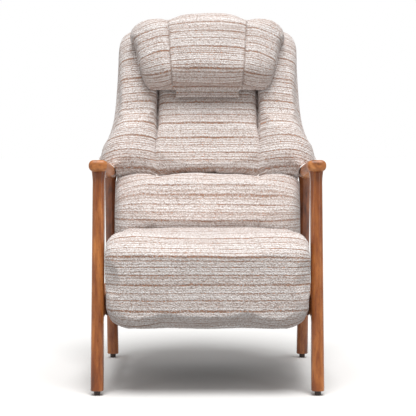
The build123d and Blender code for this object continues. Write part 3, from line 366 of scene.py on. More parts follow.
def put(piece, points):
    """Moves every vertex of a piece to the points of an array."""
    piece.data.vertices.foreach_set("co", points.ravel())
    piece.data.update()


def only(piece):
    """Selects one piece and nothing else."""
    bpy.ops.object.select_all(action="DESELECT")
    piece.select_set(True)
    bpy.context.view_layer.objects.active = piece


def soft_step(values, low, high):
    """0 below low, 1 above high and a soft step between them, over an array."""
    share = np.clip((values - low) / (high - low), 0.0, 1.0)
    return share * share * (3 - 2 * share)


def cover_over(node, voxel=cover_voxel):
    """A cover's first shape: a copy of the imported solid, closed and remeshed in even squares."""
    cover = bpy.data.objects.new(node + "_cover", frame["nodes"][node].data.copy())
    bpy.context.collection.objects.link(cover)
    only(cover)
    bpy.ops.object.mode_set(mode="EDIT")
    bpy.ops.mesh.select_all(action="SELECT")
    bpy.ops.mesh.remove_doubles(threshold=merge_distance)
    bpy.ops.object.mode_set(mode="OBJECT")
    cover.data.materials.clear()
    cover.data.remesh_voxel_size = voxel
    bpy.ops.object.voxel_remesh()
    return cover


def soften(piece, rounds):
    """Relaxes a cover as cloth does between its seams."""
    only(piece)
    relax = piece.modifiers.new("relax", "SMOOTH")
    relax.factor = 0.5
    relax.iterations = rounds
    bpy.ops.object.modifier_apply(modifier=relax.name)


def swell(piece, free, cap, walls=None, rounds=5):
    """Fills a cover as stuffing does. free says from 0 to 1 where it may move, cap how far, and
    walls keeps the points clear of their neighbours."""
    rest = places(piece)
    freedom = free(rest)[:, None]
    only(piece)
    cloth = piece.modifiers.new("stuffing", "CLOTH")
    cloth.settings.quality = 4
    cloth.settings.use_pressure = True
    cloth.settings.uniform_pressure_force = stuffing_pressure
    cloth.settings.effector_weights.gravity = 0.0
    for step in range(stuffing_steps):
        bpy.context.scene.frame_set(step + 1)
    bpy.ops.object.modifier_apply(modifier=cloth.name)
    bpy.context.scene.frame_set(1)
    move = places(piece) - rest
    far = np.linalg.norm(move, axis=1)[:, None]
    move *= np.minimum(1.0, cap / np.maximum(far, smallest_move))
    put(piece, rest + move * freedom)
    soften(piece, rounds)
    points = rest + (places(piece) - rest) * freedom
    put(piece, walls(points) if walls else points)


def refit(points, low, high):
    """Stretches points evenly so that their lowest and highest places are low and high."""
    low, high = np.array(low), np.array(high)
    least, most = points.min(axis=0), points.max(axis=0)
    return low + (points - least) * (high - low) / (most - least)


def refine(piece):
    """One subdivision, then smooth shading."""
    only(piece)
    finer = piece.modifiers.new("finer", "SUBSURF")
    finer.levels = finer.render_levels = 1
    bpy.ops.object.modifier_apply(modifier=finer.name)
    bpy.ops.object.shade_smooth()


def outward(piece):
    """The vertex normals of a piece as one array."""
    normals = np.empty(len(piece.data.vertices) * 3)
    piece.data.vertices.foreach_get("normal", normals)
    return normals.reshape(-1, 3)


wave_ways = np.array(((1.0, 0.6, 0.3), (-0.5, 1.0, 0.7), (0.8, -0.7, 1.0), (0.2, 0.9, -1.0)))


def rumple(piece, free, height, size, stretch=(1.0, 1.0, 1.0), seed=0.0):
    """Shallow hollows and swells that a hand leaves in a stuffed cover."""
    points = places(piece)
    shifted = (points * np.array(stretch) + seed) / size
    waves = np.zeros(len(points))
    for turn, way in enumerate(wave_ways):
        waves += np.sin(shifted @ way * (1 + 0.37 * turn) + turn * 1.9)
    lift = waves / len(wave_ways) * height * free(points)
    put(piece, points + outward(piece) * lift[:, None])


def nap(piece, height):
    """Raises single loops of the yarn, as far as the cover's mesh can show them."""
    points = places(piece)
    loops = np.random.default_rng(len(points)).uniform(-1.0, 1.0, len(points))
    put(piece, points + outward(piece) * (loops * height)[:, None])


def sew(piece, distance, depth, width, shade_share=1.0):
    """Draws a cover in along its seams, and marks them for the finish to paint shade along, as strongly as
    they show.
    """
    points = places(piece)
    away = distance(points)
    pull = np.exp(-((away / width) ** 2))
    put(piece, points - outward(piece) * (pull * depth)[:, None])
    shade_mark = piece.data.attributes.get("seam") or piece.data.attributes.new("seam", "FLOAT", "POINT")
    before = np.empty(len(points))
    shade_mark.data.foreach_get("value", before)
    # This mark is painted shade in the drawn-in groove.
    line = np.exp(-((away / (width * 0.4)) ** 2)) * shade_share
    shade_mark.data.foreach_set("value", np.maximum(before, line))


def lay_cloth(piece, across, along):
    """Lays the striped cloth over a piece: how far across and how far along each point lies."""
    points = places(piece)
    spots = np.stack((across(points), along(points)), axis=1)
    corners = np.empty(len(piece.data.loops), dtype=np.int64)
    piece.data.loops.foreach_get("vertex_index", corners)
    while piece.data.uv_layers:
        piece.data.uv_layers.remove(piece.data.uv_layers[0])
    layer = piece.data.uv_layers.new(name="cloth")
    layer.data.foreach_set("uv", spots[corners].ravel())


def upholster(piece, body, node):
    """Finishes a stuffed piece: loops, cloth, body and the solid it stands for."""
    nap(piece, loop_height)
    piece.data.materials.append(boucle)
    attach(piece, body)
    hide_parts(node)


def seat_free(points):
    """The cushion lies flat on the felt and keeps the hollow for the knee roll."""
    above = soft_step(points[:, 2], seat_low[2] + felt_holds, seat_low[2] + felt_frees)
    from_hinge = np.hypot(points[:, 1] - hinge_y, points[:, 2] - hinge_z)
    return above * soft_step(from_hinge, roll_radius + roll_holds, roll_radius + roll_frees)


def seat_walls(points):
    """Keeps the cushion between the legs, below the lumbar roll and behind the knee roll."""
    side = seat_high[0] + leg_to_cover
    points[:, 0] = np.clip(points[:, 0], -side, side)
    points[:, 1] = np.minimum(points[:, 1], seat_high[1] + seat_spare_y)
    points[:, 2] = np.clip(points[:, 2], seat_low[2], seat_high[2] + seat_spare_z)
    return points


def seat_along(points):
    """The stripes run on over the seat from the knee roll, by the distance along the cover."""
    return hinge_z + roll_radius * math.pi / 2 + (points[:, 1] - hinge_y)


def spread_sideways(points, depth):
    """Distance across the chair, with the depth of the sides laid out beyond its edges."""
    return points[:, 0] + np.tanh(points[:, 0] / side_turn_x) * depth


def round_crest(points):
    """Rounds off both ends of the crest, where the cover is drawn down at the corners."""
    past = np.abs(points[:, 0]) - crest_round_from
    outer = np.clip(past / (seat_high[0] - crest_round_from), 0.0, 1.2)
    above = soft_step(points[:, 2], hinge_z, hinge_z + roll_radius)
    points[:, 2] -= outer ** 2.4 * crest_round_drop * above
    return points


seat = cover_over("seat_cushion")
swell(seat, seat_free, 0.010, seat_walls)
refine(seat)
put(seat, round_crest(refit(places(seat), seat_low, seat_high - seat_settle)))
rumple(seat, seat_free, 0.0018, 0.035)
lay_cloth(seat, lambda points: spread_sideways(points, seat_high[2] - points[:, 2]), seat_along)
upholster(seat, "frame", "seat_cushion")

# Leg rest pad: foam wrapped round the hinge line and hanging in front of the seat box. One width
# of cloth covers its front, top and bottom, and a narrower border is sewn in at each side.
pad_middle_y = (pad_low[1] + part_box("leg_rest_board")[0][1]) / 2
pad_half_thick = pad_middle_y - pad_low[1]
arm_side_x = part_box("left_leg_rest_arm")[1][0]
bracket_side_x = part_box("leg_rest_brackets")[1][0]
slot_to_arm = 0.004
slot_middle_x = (abs(arm_side_x) + bracket_side_x) / 2 - slot_to_arm
slot_reach, slot_fade = 0.022, 0.01
slot_front_y, slot_rear_y = hinge_y - 0.055, hinge_y - 0.04
board_holds_y, front_frees_y = pad_middle_y + 0.02, pad_middle_y - 0.01
crest_holds_y, crest_frees_y = hinge_y + 0.02, hinge_y - 0.005
crest_holds_z, crest_frees_z = hinge_z + 0.035, hinge_z + 0.06
pad_turn_height = 0.043
pad_turn_z = pad_low[2] + pad_turn_height
border_width = 0.009
border_x = pad_high[0] - border_width
pad_spare_y, pad_spare_z = 0.006, 0.001
pad_sag = Vector((0.0, 0.0, 0.005))


def pad_free(points):
    """The pad's front and sides are free; its back lies on the board and the slots stay open."""
    x, y, z = points.T
    ahead = soft_step(-y, -board_holds_y, -front_frees_y)
    crest = soft_step(z, crest_holds_z, crest_frees_z) * soft_step(-y, -crest_holds_y, -crest_frees_y)
    by_slot = 1 - soft_step(np.abs(np.abs(x) - slot_middle_x), slot_reach, slot_reach + slot_fade)
    in_slot = by_slot * soft_step(y, slot_front_y, slot_rear_y)
    return np.maximum(ahead, crest) * (1 - in_slot)


def pad_walls(points):
    """Keeps the pad between the front legs and off the seat cushion."""
    side = pad_high[0] + leg_to_cover
    points[:, 0] = np.clip(points[:, 0], -side, side)
    points[:, 1] = np.maximum(points[:, 1], pad_low[1] - pad_spare_y)
    points[:, 2] = np.minimum(points[:, 2], hinge_z + roll_radius + pad_spare_z)
    return points


def pad_along(points):
    """Distance along the cover: up the front, round the knee roll, and round the lower edge."""
    y, z = points[:, 1], points[:, 2]
    over = hinge_z + roll_radius * np.arctan2(z - hinge_z, hinge_y - y)
    under = pad_turn_z - pad_half_thick * np.arctan2(pad_turn_z - z, pad_middle_y - y)
    rear = pad_turn_z - pad_half_thick * math.pi - (z - pad_turn_z)
    straight = np.where(y < pad_middle_y, z, rear)
    return np.where(z > hinge_z, over, np.where(z < pad_turn_z, under, straight))


def border_distance(points):
    """Distance from the seams of the two side borders, over the free front alone."""
    return np.abs(np.abs(points[:, 0]) - border_x) + 0.5 * (1 - pad_free(points))


pad = cover_over("leg_rest_pad")
swell(pad, pad_free, 0.018, pad_walls, rounds=14)
refine(pad)
put(pad, round_crest(refit(places(pad), pad_low - pad_sag, pad_high)))
rumple(pad, pad_free, 0.0022, 0.04, (1.0, 1.0, 0.6), 0.31)
sew(pad, border_distance, 0.0022, 0.005, 0.0)
lay_cloth(pad, lambda points: spread_sideways(points, points[:, 1] - pad_low[1]), pad_along)
upholster(pad, "leg_rest", "leg_rest_pad")

# Lumbar roll: a loose-filled roll across the foot of the back, in the same striped cloth. It is
# sewn to the panels above it in an arched crease, and steps down under both wings.
back_lean = math.radians(20.0)
lean_sin, lean_cos = math.sin(back_lean), math.cos(back_lean)
face_y, face_z = 0.070, 0.500
roll_low_up, roll_high_up = -0.122, 0.078
roll_middle_up = (roll_low_up + roll_high_up) / 2
roll_half_width = 0.2695
roll_front_out, roll_turn_out = 0.036, 0.020
roll_turn_up = 0.05
wing_low_up = 0.064
under_wing_x = 0.149
pad_rear_out = -0.058
springs_hold, springs_free = 0.008, 0.034
side_turn_out = 0.015
edge_gap = 0.001


def from_face(points):
    """Height up the slope of the back, and distance out of its face."""
    dy = points[:, 1] - face_y
    dz = points[:, 2] - face_z
    return dy * lean_sin + dz * lean_cos, dz * lean_sin - dy * lean_cos


def face_spot(up, out):
    """The chair's own y and z of a height and a distance on the back's face."""
    return face_y + up * lean_sin - out * lean_cos, face_z + up * lean_cos + out * lean_sin


def to_chair(points, up, out):
    """Moves points to their heights and distances on the back's face."""
    points[:, 1], points[:, 2] = face_spot(up, out)
    return points


def back_free(points):
    """A pad of the back moves in front; its rear half lies on the springs inside the shell."""
    out = from_face(points)[1]
    return soft_step(out, pad_rear_out + springs_hold, pad_rear_out + springs_free)


def roll_walls(points):
    """Keeps the lumbar roll between the legs, above the seat and below the wing pads."""
    up, out = from_face(points)
    under_wing = np.abs(points[:, 0]) > under_wing_x
    ceiling = np.where(under_wing, wing_low_up - edge_gap, roll_high_up)
    up = np.clip(up, roll_low_up + edge_gap, ceiling)
    points = to_chair(points, up, np.minimum(out, roll_front_out))
    points[:, 0] = np.clip(points[:, 0], -roll_half_width, roll_half_width)
    return points


def roll_along(points):
    """Stripes over the roll, whose top and bottom edges turn inwards."""
    up, out = from_face(points)
    return up + np.tanh((up - roll_middle_up) / roll_turn_up) * (roll_turn_out - out) * 0.6


def back_across(points):
    """Distance across the back, with the depth of its sides laid out."""
    return spread_sideways(points, np.maximum(0.0, side_turn_out - from_face(points)[1]))


def refit_back(piece, sides, ups):
    """Stretches a pad of the back to its two sides, and to its lowest and highest heights."""
    points = places(piece)
    up, out = from_face(points)
    spots = np.stack((points[:, 0], up), axis=1)
    spots = refit(spots, (sides[0], ups[0]), (sides[1], ups[1]))
    points[:, 0] = spots[:, 0]
    put(piece, to_chair(points, spots[:, 1], out))


crease_xs = (0.0, 0.08, 0.151, 0.21, 0.264)
crease_ups = (0.082, 0.081, 0.077, 0.07, 0.058)
crease_tuck = 0.005


def crease_up(points):
    """Height of the arched crease between the lumbar roll and the panels sewn on above it."""
    return np.interp(np.abs(points[:, 0]), crease_xs, crease_ups)


def raise_near(piece, old_up, reach, below):
    """Moves a pad's edge from its old height into the crease, and less what lies within reach."""
    points = places(piece)
    up, out = from_face(points)
    inward = old_up - up if below else up - old_up
    near = 1 - soft_step(inward, 0.0, reach)
    edge_up = crease_up(points) + (crease_tuck if below else -crease_tuck)
    up = up + (edge_up - old_up) * near
    up = np.minimum(up, edge_up) if below else np.maximum(up, edge_up)
    put(piece, to_chair(points, up, out))


lumbar = cover_over("lumbar_roll")
swell(lumbar, back_free, 0.022, roll_walls)
refine(lumbar)
refit_back(lumbar, (-roll_half_width, roll_half_width), (roll_low_up, roll_high_up))
roll_step = roll_high_up - wing_low_up
step_from_x, step_to_x = 0.141, 0.155
step_share = soft_step(np.abs(places(lumbar)[:, 0]), step_from_x, step_to_x)
raise_near(lumbar, roll_high_up - roll_step * step_share, 0.06, True)
rumple(lumbar, back_free, 0.0025, 0.03, (1.0, 1.0, 0.5), 0.77)
lay_cloth(lumbar, back_across, roll_along)
upholster(lumbar, "back", "lumbar_roll")

# Centre panel and wing pads: the face of the back, sewn together down two upright seams. The
# wings flare out over the arms; a pulled crease runs down the middle of the centre panel.
seam_x = 0.151
back_high_up = 0.540
wing_half_width = 0.328
edge_shares = ((0.0, 0.965), (0.11, 1.0), (0.19, 0.96), (0.26, 0.905), (0.34, 0.863), (0.5, 0.83),
               (0.76, 0.814), (0.9, 0.8), (1.0, 0.69))
seam_gap, seam_overlap = 0.0005, 0.005
panel_front_out = 0.0121
edge_droop_x = 0.09
slack_foot_x, slack_slant = 0.026, 0.05
slack_low_up, slack_high_up = 0.082, 0.2
slack_softness = 0.004


def edge_x(up):
    """Half width of the back at a height up its slope."""
    shares, halves = zip(*edge_shares)
    share = (up - wing_low_up) / (back_high_up - wing_low_up)
    return np.interp(share, shares, halves) * wing_half_width


def back_along(points):
    """Stripes level across the back that droop where the cover is pulled round its edges."""
    up, out = from_face(points)
    from_edge = np.maximum(0.0, np.abs(points[:, 0]) - (edge_x(up) - edge_droop_x))
    return up + 1.5 * from_edge ** 2 + np.maximum(0.0, -out) * 0.3


def centre_walls(points):
    """Keeps the centre panel between its seams, behind the pillow's strap."""
    points[:, 0] = np.clip(points[:, 0], -seam_x + seam_gap, seam_x - seam_gap)
    up, out = from_face(points)
    return to_chair(points, up, np.minimum(out, panel_front_out))


def crease_distance(points):
    """Distance from the slack crease that slants down the middle of the centre panel."""
    up = from_face(points)[0]
    line_x = slack_foot_x - up * slack_slant
    past_end = np.maximum(0.0, np.maximum(up - slack_high_up, slack_low_up - up))
    return np.hypot(points[:, 0] - line_x, past_end * 0.5) + slack_softness


centre = cover_over("centre_back_panel")
swell(centre, back_free, 0.012, centre_walls)
refine(centre)
refit_back(centre, (-seam_x - seam_overlap, seam_x + seam_overlap), (roll_high_up, back_high_up))
raise_near(centre, roll_high_up, 0.05, False)
rumple(centre, back_free, 0.0012, 0.03, seed=1.3)
sew(centre, crease_distance, 0.004, 0.008)
lay_cloth(centre, back_across, back_along)
upholster(centre, "back", "centre_back_panel")

wing_spare_x = 0.004
arm_top_z = 0.606
over_arm_x, beside_roll_x = 0.262, 0.2
pillow_lowest_up = 0.262
wing_slope = 0.4


def wing_walls(sign):
    """Keeps one wing pad outside its seam, above the arm and behind the pillow's travel."""

    def walls(points):
        inner = seam_x + seam_gap
        points[:, 0] = sign * np.clip(sign * points[:, 0], inner, wing_half_width + wing_spare_x)
        over_arm = np.abs(points[:, 0]) > over_arm_x
        points[over_arm, 2] = np.maximum(points[over_arm, 2], arm_top_z)
        up, out = from_face(points)
        up = np.where(np.abs(points[:, 0]) < beside_roll_x, np.maximum(up, wing_low_up), up)
        below_pillow = np.maximum(0.0, pillow_lowest_up - up)
        return to_chair(points, up, np.minimum(out, panel_front_out + wing_slope * below_pillow))

    return walls


arm_touch_gap, arm_pass_gap = 0.0016, 0.009
arm_pull_full, arm_pull_reach = 0.021, 0.065
lip_rear_y, lip_run_y = 0.078, 0.04
by_arm_x = 0.24
by_arm_low_z, by_arm_high_z = 0.55, 0.68


def settle_on_arm(wing, side):
    """Lets the wing roll down onto its arm. Behind its front lip the underside keeps the room that
    it needs when it swings back about the pivot."""
    arm = bmesh.new()
    arm.from_mesh(frame["nodes"][side + "_armrest"].data)
    arm_shape = BVHTree.FromBMesh(arm)
    arm.free()
    points = places(wing)
    behind_lip = soft_step(points[:, 1], lip_rear_y, lip_rear_y + lip_run_y)
    lip_gap = arm_touch_gap + arm_pass_gap * behind_lip
    level_with_arm = (points[:, 2] > by_arm_low_z) & (points[:, 2] < by_arm_high_z)
    for index in np.flatnonzero((np.abs(points[:, 0]) > by_arm_x) & level_with_arm):
        point = Vector(points[index])
        spot, _, _, distance = arm_shape.find_nearest(point, arm_pull_reach)
        if spot is not None and distance > lip_gap[index]:
            share = 1 - soft_step(distance, arm_pull_full, arm_pull_reach)
            points[index] += np.array(spot - point) * ((distance - lip_gap[index]) / distance * share)
    put(wing, points)
    soften(wing, 2)


for side, sign in (("left", -1), ("right", 1)):
    wing = cover_over(side + "_wing_pad")
    swell(wing, back_free, 0.014, wing_walls(sign))
    refine(wing)
    inner_x = seam_x - seam_overlap
    sides = (inner_x, wing_half_width) if sign > 0 else (-wing_half_width, -inner_x)
    refit_back(wing, sides, (wing_low_up, back_high_up))
    raise_near(wing, wing_low_up, 0.05, False)
    settle_on_arm(wing, side)
    rumple(wing, back_free, 0.002, 0.04, seed=2.1 * sign)
    lay_cloth(wing, back_across, back_along)
    upholster(wing, "back", side + "_wing_pad")

# Outside back: the same cloth stretched over thin wadding on the closed rear shell, and turned in
# under the pads all round, where a sewn edge meets them.
shell_voxel = 0.0045
shell_rear_out = -0.1375
shell_seam_out = -0.078
shell_face_inset = 0.02


def shell_along(points):
    """Stripes level over the outside back, slanting where it turns in."""
    up, out = from_face(points)
    return up + 0.4 * (out - shell_rear_out)


def shell_seam(points):
    """Distance from the sewn edge, which runs round the sides and the top."""
    up, out = from_face(points)
    inside = edge_x(up) - shell_face_inset > np.abs(points[:, 0])
    inside &= up < back_high_up - shell_face_inset
    return np.abs(out - shell_seam_out) + 0.2 * inside


shell = cover_over("rear_shell", shell_voxel)
soften(shell, 6)
refine(shell)
lay_cloth(shell, back_across, shell_along)
sew(shell, shell_seam, 0.0015, 0.004)
upholster(shell, "back", "rear_shell")

# Head pillow: three panels sewn edge to edge over loose filling. Its middle panel stands higher,
# because the strap that holds the pillow is the same width of cloth.
pillow_voxel = 0.005
pillow_low_up, pillow_high_up = 0.322, 0.563
pillow_lower_lift = 0.006
pillow_foot_up = pillow_low_up + pillow_lower_lift
pillow_rear_out, pillow_front_out = 0.017, 0.06
pillow_half_width = 0.229
pillow_seam_x = 0.118
pillow_spare_up = 0.006
pillow_holds, pillow_frees = 0.002, 0.018
pillow_roll_radius = 0.072
pillow_thickness = 0.06
pillow_sag, pillow_sag_height = 0.010, 0.11
seam_drop, panel_drop, corner_drop = 0.013, 0.009, 0.034
seam_slope_x = (0.06, 0.124)
panel_slope_x = (0.12, 0.19)
corner_from_x = 0.170
droop_low_up, droop_high_up = pillow_high_up - 0.12, pillow_high_up - 0.01
pillow_seam_shares = ((0.0, 0.22, 0.5, 0.78, 1.0), (0.87, 0.9, 0.94, 0.97, 1.02))
panel_shift = 0.009


def pillow_seam(up):
    """Place of the pillow's two seams, which close in towards its lower edge."""
    share = (up - pillow_low_up) / (pillow_high_up - pillow_low_up)
    return pillow_seam_x * np.interp(share, *pillow_seam_shares)


def pillow_free(points):
    """The pillow moves in front and lies flat against the back."""
    out = from_face(points)[1]
    return soft_step(out, pillow_rear_out + pillow_holds, pillow_rear_out + pillow_frees)


def pillow_walls(points):
    """Keeps the pillow in front of the strap."""
    up, out = from_face(points)
    up = np.minimum(up, pillow_high_up + pillow_spare_up)
    return to_chair(points, up, np.maximum(out, pillow_rear_out))


def hang_pillow(points):
    """Droops the pillow's upper edge to its corners, rounds its lower edge and lets it sag."""
    up, out = from_face(points)
    beside = np.abs(points[:, 0])
    corner = np.clip((beside - corner_from_x) / (pillow_half_width - corner_from_x), 0.0, 1.2) ** 2.2
    drop = seam_drop * soft_step(beside, *seam_slope_x) + panel_drop * soft_step(beside, *panel_slope_x)
    drop = (drop + corner_drop * corner) * soft_step(up, droop_low_up, droop_high_up)
    roll_share = np.clip((up - pillow_foot_up) / pillow_roll_radius, 0.0, 1.0)
    roundness = 0.2 + 0.8 * np.sqrt(1 - (1 - roll_share) ** 2)
    thick_share = np.clip((out - pillow_rear_out) / pillow_thickness, 0.0, 1.0)
    near_foot = 1 - soft_step(up, pillow_foot_up, pillow_foot_up + pillow_sag_height)
    sag = pillow_sag * thick_share * near_foot
    out = pillow_rear_out + (out - pillow_rear_out) * roundness
    return to_chair(points, up - drop - sag, out)


def pillow_seam_distance(points):
    """Distance from the pillow's two seams, over its free part."""
    seam_here = pillow_seam(from_face(points)[0])
    return np.abs(np.abs(points[:, 0]) - seam_here) + 0.2 * (1 - pillow_free(points))


def pillow_across(points):
    """Distance across the pillow, with the depth of its sides laid out."""
    return spread_sideways(points, np.maximum(0.0, pillow_front_out - from_face(points)[1]))


def pillow_along(points):
    """Stripes of the pillow: level in the middle, drooping outwards on the side panels."""
    up, out = from_face(points)
    past_seam = np.maximum(0.0, np.abs(points[:, 0]) - pillow_seam(up))
    level = np.clip(up, pillow_low_up + pillow_roll_radius, pillow_high_up - pillow_roll_radius)
    curved = pillow_roll_radius * np.arctan2(up - level, np.maximum(out - pillow_rear_out, 0.001))
    flat = (up - level) * math.pi / 2
    turned = soft_step(out, pillow_rear_out + 0.001, pillow_rear_out + 0.012)
    along = level + flat + (curved - flat) * turned
    return along + 0.2 * past_seam + 0.4 * past_seam ** 2 + panel_shift * (past_seam > 0)


pillow = cover_over("head_pillow", pillow_voxel)
swell(pillow, pillow_free, 0.018, pillow_walls, rounds=14)
refine(pillow)
refit_back(pillow, (-pillow_half_width, pillow_half_width), (pillow_foot_up, pillow_high_up))
put(pillow, hang_pillow(places(pillow)))
rumple(pillow, pillow_free, 0.0025, 0.035, seed=0.5)
sew(pillow, pillow_seam_distance, 0.003, 0.006)
lay_cloth(pillow, pillow_across, pillow_along)
upholster(pillow, "headrest", "head_pillow")

# Tab, strap and pouch: a doubled band of the same cloth with stitched edges. It shows below the
# pillow, runs over the top of the back and ends in a pouch with a flat steel weight inside.
strap_half_width = 0.093
strap_thickness = 0.0044
strap_near_out = 0.0123
band_middle_out = strap_near_out + strap_thickness / 2
band_columns = 26
band_step = 0.008


def new_piece(name, mesh):
    """A piece made of an edited mesh, alone in the selection."""
    data = bpy.data.meshes.new(name)
    mesh.to_mesh(data)
    mesh.free()
    piece = bpy.data.objects.new(name, data)
    bpy.context.collection.objects.link(piece)
    only(piece)
    return piece


def band(name, path):
    """A doubled band of cloth laid along a path of heights and distances on the back."""
    mesh = bmesh.new()
    rows = []
    for up, out in path:
        xs = [strap_half_width * (2 * column / band_columns - 1) for column in range(band_columns + 1)]
        rows.append([mesh.verts.new((x, *face_spot(up, out))) for x in xs])
    for low, high in zip(rows, rows[1:]):
        for column in range(band_columns):
            mesh.faces.new((low[column], low[column + 1], high[column + 1], high[column]))
    piece = new_piece(name, mesh)
    doubled = piece.modifiers.new("doubled", "SOLIDIFY")
    doubled.thickness = strap_thickness * 0.8
    doubled.offset = 0.0
    bpy.ops.object.modifier_apply(modifier=doubled.name)
    edge = piece.modifiers.new("edge", "BEVEL")
    edge.width = strap_thickness * 0.3
    edge.segments = 3
    edge.limit_method = "ANGLE"
    bpy.ops.object.modifier_apply(modifier=edge.name)
    refine(piece)
    return piece


def dress_band(piece, body, node, along):
    """Finishes a band: cloth, body, the solid it stands for and slot."""
    lay_cloth(piece, lambda points: points[:, 0], along)
    piece.data.materials.append(boucle)
    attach(piece, body)
    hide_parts(node)


def even_path(corners, step):
    """Points evenly along a run of straight stretches."""
    path = [corners[0]]
    for (up_a, out_a), (up_b, out_b) in zip(corners, corners[1:]):
        count = max(1, round(math.dist((up_a, out_a), (up_b, out_b)) / step))
        path += [(up_a + (up_b - up_a) * k / count, out_a + (out_b - out_a) * k / count)
                 for k in range(1, count + 1)]
    return path


stitch_length, stitch_width = 0.0042, 0.0011
stitch_pitch, stitch_inset = 0.0062, 0.006
thread_finish = Finish("waxed_thread", specular_ior_level=0.4)
thread_place = thread_finish.place()
thread_twist = thread_finish.noise(thread_finish.stretched(thread_place, (900.0, 900.0, 2400.0)), 1.0, 1.0)
thread_colour = thread_finish.blend(thread_twist, srgb(206, 190, 176), srgb(236, 226, 214))
thread = thread_finish.paint(thread_colour, thread_twist * 0.2 + 0.55, thread_twist, 0.0003, 0.6)


def edge_stitches(name, from_up, to_up, out, body):
    """Short thread stitches along both edges of a band that faces out of the back."""
    bpy.ops.object.select_all(action="DESELECT")
    bpy.ops.mesh.primitive_uv_sphere_add(segments=8, ring_count=5, radius=0.5)
    sphere = bpy.context.object
    shape = sphere.data.copy()
    bpy.data.objects.remove(sphere)
    turn = Vector((0.0, lean_sin, lean_cos)).to_track_quat("X", "Z").to_matrix().to_4x4()
    scale = Matrix.Diagonal((stitch_length, stitch_width, stitch_width, 1.0))
    count = int((to_up - from_up) / stitch_pitch)
    joined = bmesh.new()
    for x in (stitch_inset - strap_half_width, strap_half_width - stitch_inset):
        for k in range(count + 1):
            spot = face_spot(from_up + (to_up - from_up) * k / count, out)
            stitch = shape.copy()
            stitch.transform(Matrix.Translation((x, *spot)) @ turn @ scale)
            joined.from_mesh(stitch)
            bpy.data.meshes.remove(stitch)
    piece = new_piece(name, joined)
    bpy.ops.object.shade_smooth()
    piece.data.materials.append(thread)
    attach(piece, body)


tab_low_up, tab_high_up = 0.306, 0.338
tab_path = even_path([(tab_low_up, band_middle_out), (tab_high_up, band_middle_out)], band_step)
tab = band("strap_tab_cloth", tab_path)
dress_band(tab, "headrest", "strap_tab", lambda points: from_face(points)[0])
stitch_low_up, stitch_high_up = tab_low_up + 0.004, tab_high_up - 0.02
stitch_out = strap_near_out + strap_thickness * 0.9
edge_stitches("tab_stitches", stitch_low_up, stitch_high_up, stitch_out, "headrest")

shell_gap = 0.0003
rear_middle_out = shell_rear_out - shell_gap - strap_thickness / 2
over_up = back_high_up + shell_gap + strap_thickness / 2
strap_front_up, strap_rear_up = 0.372, 0.232
turn_radius = 0.012
turn_steps = 5
turn_reach = 0.006
strap_corners = [(strap_front_up, band_middle_out), (over_up - turn_radius, band_middle_out)]
for step in range(1, turn_steps + 1):
    angle = math.radians(90 * step / turn_steps)
    strap_corners.append((over_up - turn_radius * (1 - math.sin(angle)),
                          band_middle_out - turn_radius * (1 - math.cos(angle))))
for step in range(turn_steps + 1):
    angle = math.radians(90 * step / turn_steps)
    strap_corners.append((over_up - turn_radius * (1 - math.cos(angle)),
                          rear_middle_out + turn_radius * (1 - math.sin(angle))))
strap_corners.append((strap_rear_up, rear_middle_out))
strap_path = even_path(strap_corners, band_step)


def strap_along(points):
    """Stripes across the strap by the distance along it, up the front, over the top and down."""
    up, out = from_face(points)
    in_front = out > band_middle_out - turn_reach
    behind = out < rear_middle_out + turn_reach
    top = over_up + (band_middle_out - out)
    rear = over_up + (band_middle_out - rear_middle_out) + (over_up - up)
    return np.where(in_front, up, np.where(behind, rear, top))


strap = band("pillow_strap_cloth", strap_path)
dress_band(strap, "back", "pillow_strap", strap_along)
stitch_low_up, stitch_high_up = 0.41, over_up - 0.03
stitch_out = rear_middle_out - strap_thickness * 0.42
edge_stitches("strap_stitches", stitch_low_up, stitch_high_up, stitch_out, "back")

pouch_voxel = 0.003
pouch_holds_out, pouch_frees_out = -0.146, -0.156
pouch_seam_out = -0.158


def pouch_free(points):
    """The pouch bulges to the rear and lies flat against the strap."""
    return soft_step(-from_face(points)[1], -pouch_holds_out, -pouch_frees_out)


def pouch_along(points):
    """Stripes of the pouch, by height and by depth."""
    up, out = from_face(points)
    return up - 0.8 * out


pouch = cover_over("counterweight_pouch", pouch_voxel)
swell(pouch, pouch_free, 0.006, rounds=8)
refine(pouch)
lay_cloth(pouch, back_across, pouch_along)
sew(pouch, lambda points: np.abs(from_face(points)[1] - pouch_seam_out), 0.0015, 0.003)
upholster(pouch, "counterweight", "counterweight_pouch")

# Floor, lights and camera: a pale floor that throws no light back, two tall softboxes in front,
# one broad light from above, and a white backdrop that only the camera sees at full strength.
floor_radius = 30.0
bpy.ops.object.select_all(action="DESELECT")
bpy.ops.mesh.primitive_circle_add(vertices=96, radius=floor_radius, fill_type="NGON")
floor = bpy.context.object
floor.name = "floor"
floor_finish = Finish("pale_floor")
floor_place = floor_finish.place()
floor_tone = floor_finish.noise(floor_place, 3.0, 3.0)
floor_colour = floor_finish.blend(floor_tone, srgb(230, 229, 227), srgb(234, 233, 232))
floor.data.materials.append(floor_finish.paint(floor_colour, floor_tone * 0.1 + 0.7))
floor.visible_diffuse = False

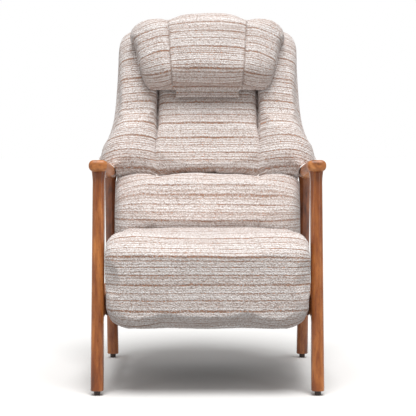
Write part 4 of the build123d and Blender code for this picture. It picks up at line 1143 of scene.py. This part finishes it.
world = bpy.data.worlds.new("studio")
world.use_nodes = True
studio_nodes = world.node_tree.nodes
studio_links = world.node_tree.links
white = (1.0, 1.0, 1.0, 1.0)
ambient = studio_nodes["Background"]
ambient.inputs["Color"].default_value = white
ambient.inputs["Strength"].default_value = 0.45
backdrop = studio_nodes.new("ShaderNodeBackground")
backdrop.inputs["Color"].default_value = white
backdrop.inputs["Strength"].default_value = 1.0
seen = studio_nodes.new("ShaderNodeLightPath")
either = studio_nodes.new("ShaderNodeMixShader")
studio_links.new(seen.outputs["Is Camera Ray"], either.inputs[0])
studio_links.new(ambient.outputs[0], either.inputs[1])
studio_links.new(backdrop.outputs[0], either.inputs[2])
studio_links.new(either.outputs[0], studio_nodes["World Output"].inputs["Surface"])
bpy.context.scene.world = world
bpy.context.scene.view_settings.view_transform = "Standard"


softbox_x, softbox_y, softbox_z = 1.9, -2.3, 1.5
softbox_width, softbox_height = 0.5, 1.8
softbox_aim = Vector((0.0, 0.0, 0.5))


def softbox(name, place, watts):
    """A rectangular studio light that points at the middle of the chair."""
    light = bpy.data.lights.new(name, "AREA")
    light.shape = "RECTANGLE"
    light.size = softbox_width
    light.size_y = softbox_height
    light.energy = watts
    lamp = bpy.data.objects.new(name, light)
    lamp.location = place
    lamp.rotation_euler = (softbox_aim - place).to_track_quat("-Z", "Y").to_euler()
    bpy.context.collection.objects.link(lamp)


softbox("left_softbox", Vector((-softbox_x, softbox_y, softbox_z)), 5.0)
softbox("right_softbox", Vector((softbox_x, softbox_y, softbox_z)), 6.0)

skylight = bpy.data.lights.new("broad_top_light", "SUN")
skylight.energy = 3.25
skylight.angle = math.radians(35.0)
overhead = bpy.data.objects.new("broad_top_light", skylight)
light_falls = Vector((-0.04, 0.32, -0.95))
overhead.rotation_euler = light_falls.to_track_quat("-Z", "Y").to_euler()
bpy.context.collection.objects.link(overhead)

frame_pixels = 416
focal_pixels = 1444.0
camera_tilt = math.radians(3.09)
camera_place = (0.0014, -4.10, 0.696)
camera_data = bpy.data.cameras.new("photo_camera")
camera_data.lens = camera_data.sensor_width * focal_pixels / frame_pixels
camera = bpy.data.objects.new("photo_camera", camera_data)
camera.location = camera_place
camera.rotation_euler = (math.pi / 2 - camera_tilt, 0.0, 0.0)
bpy.context.collection.objects.link(camera)
bpy.context.scene.camera = camera
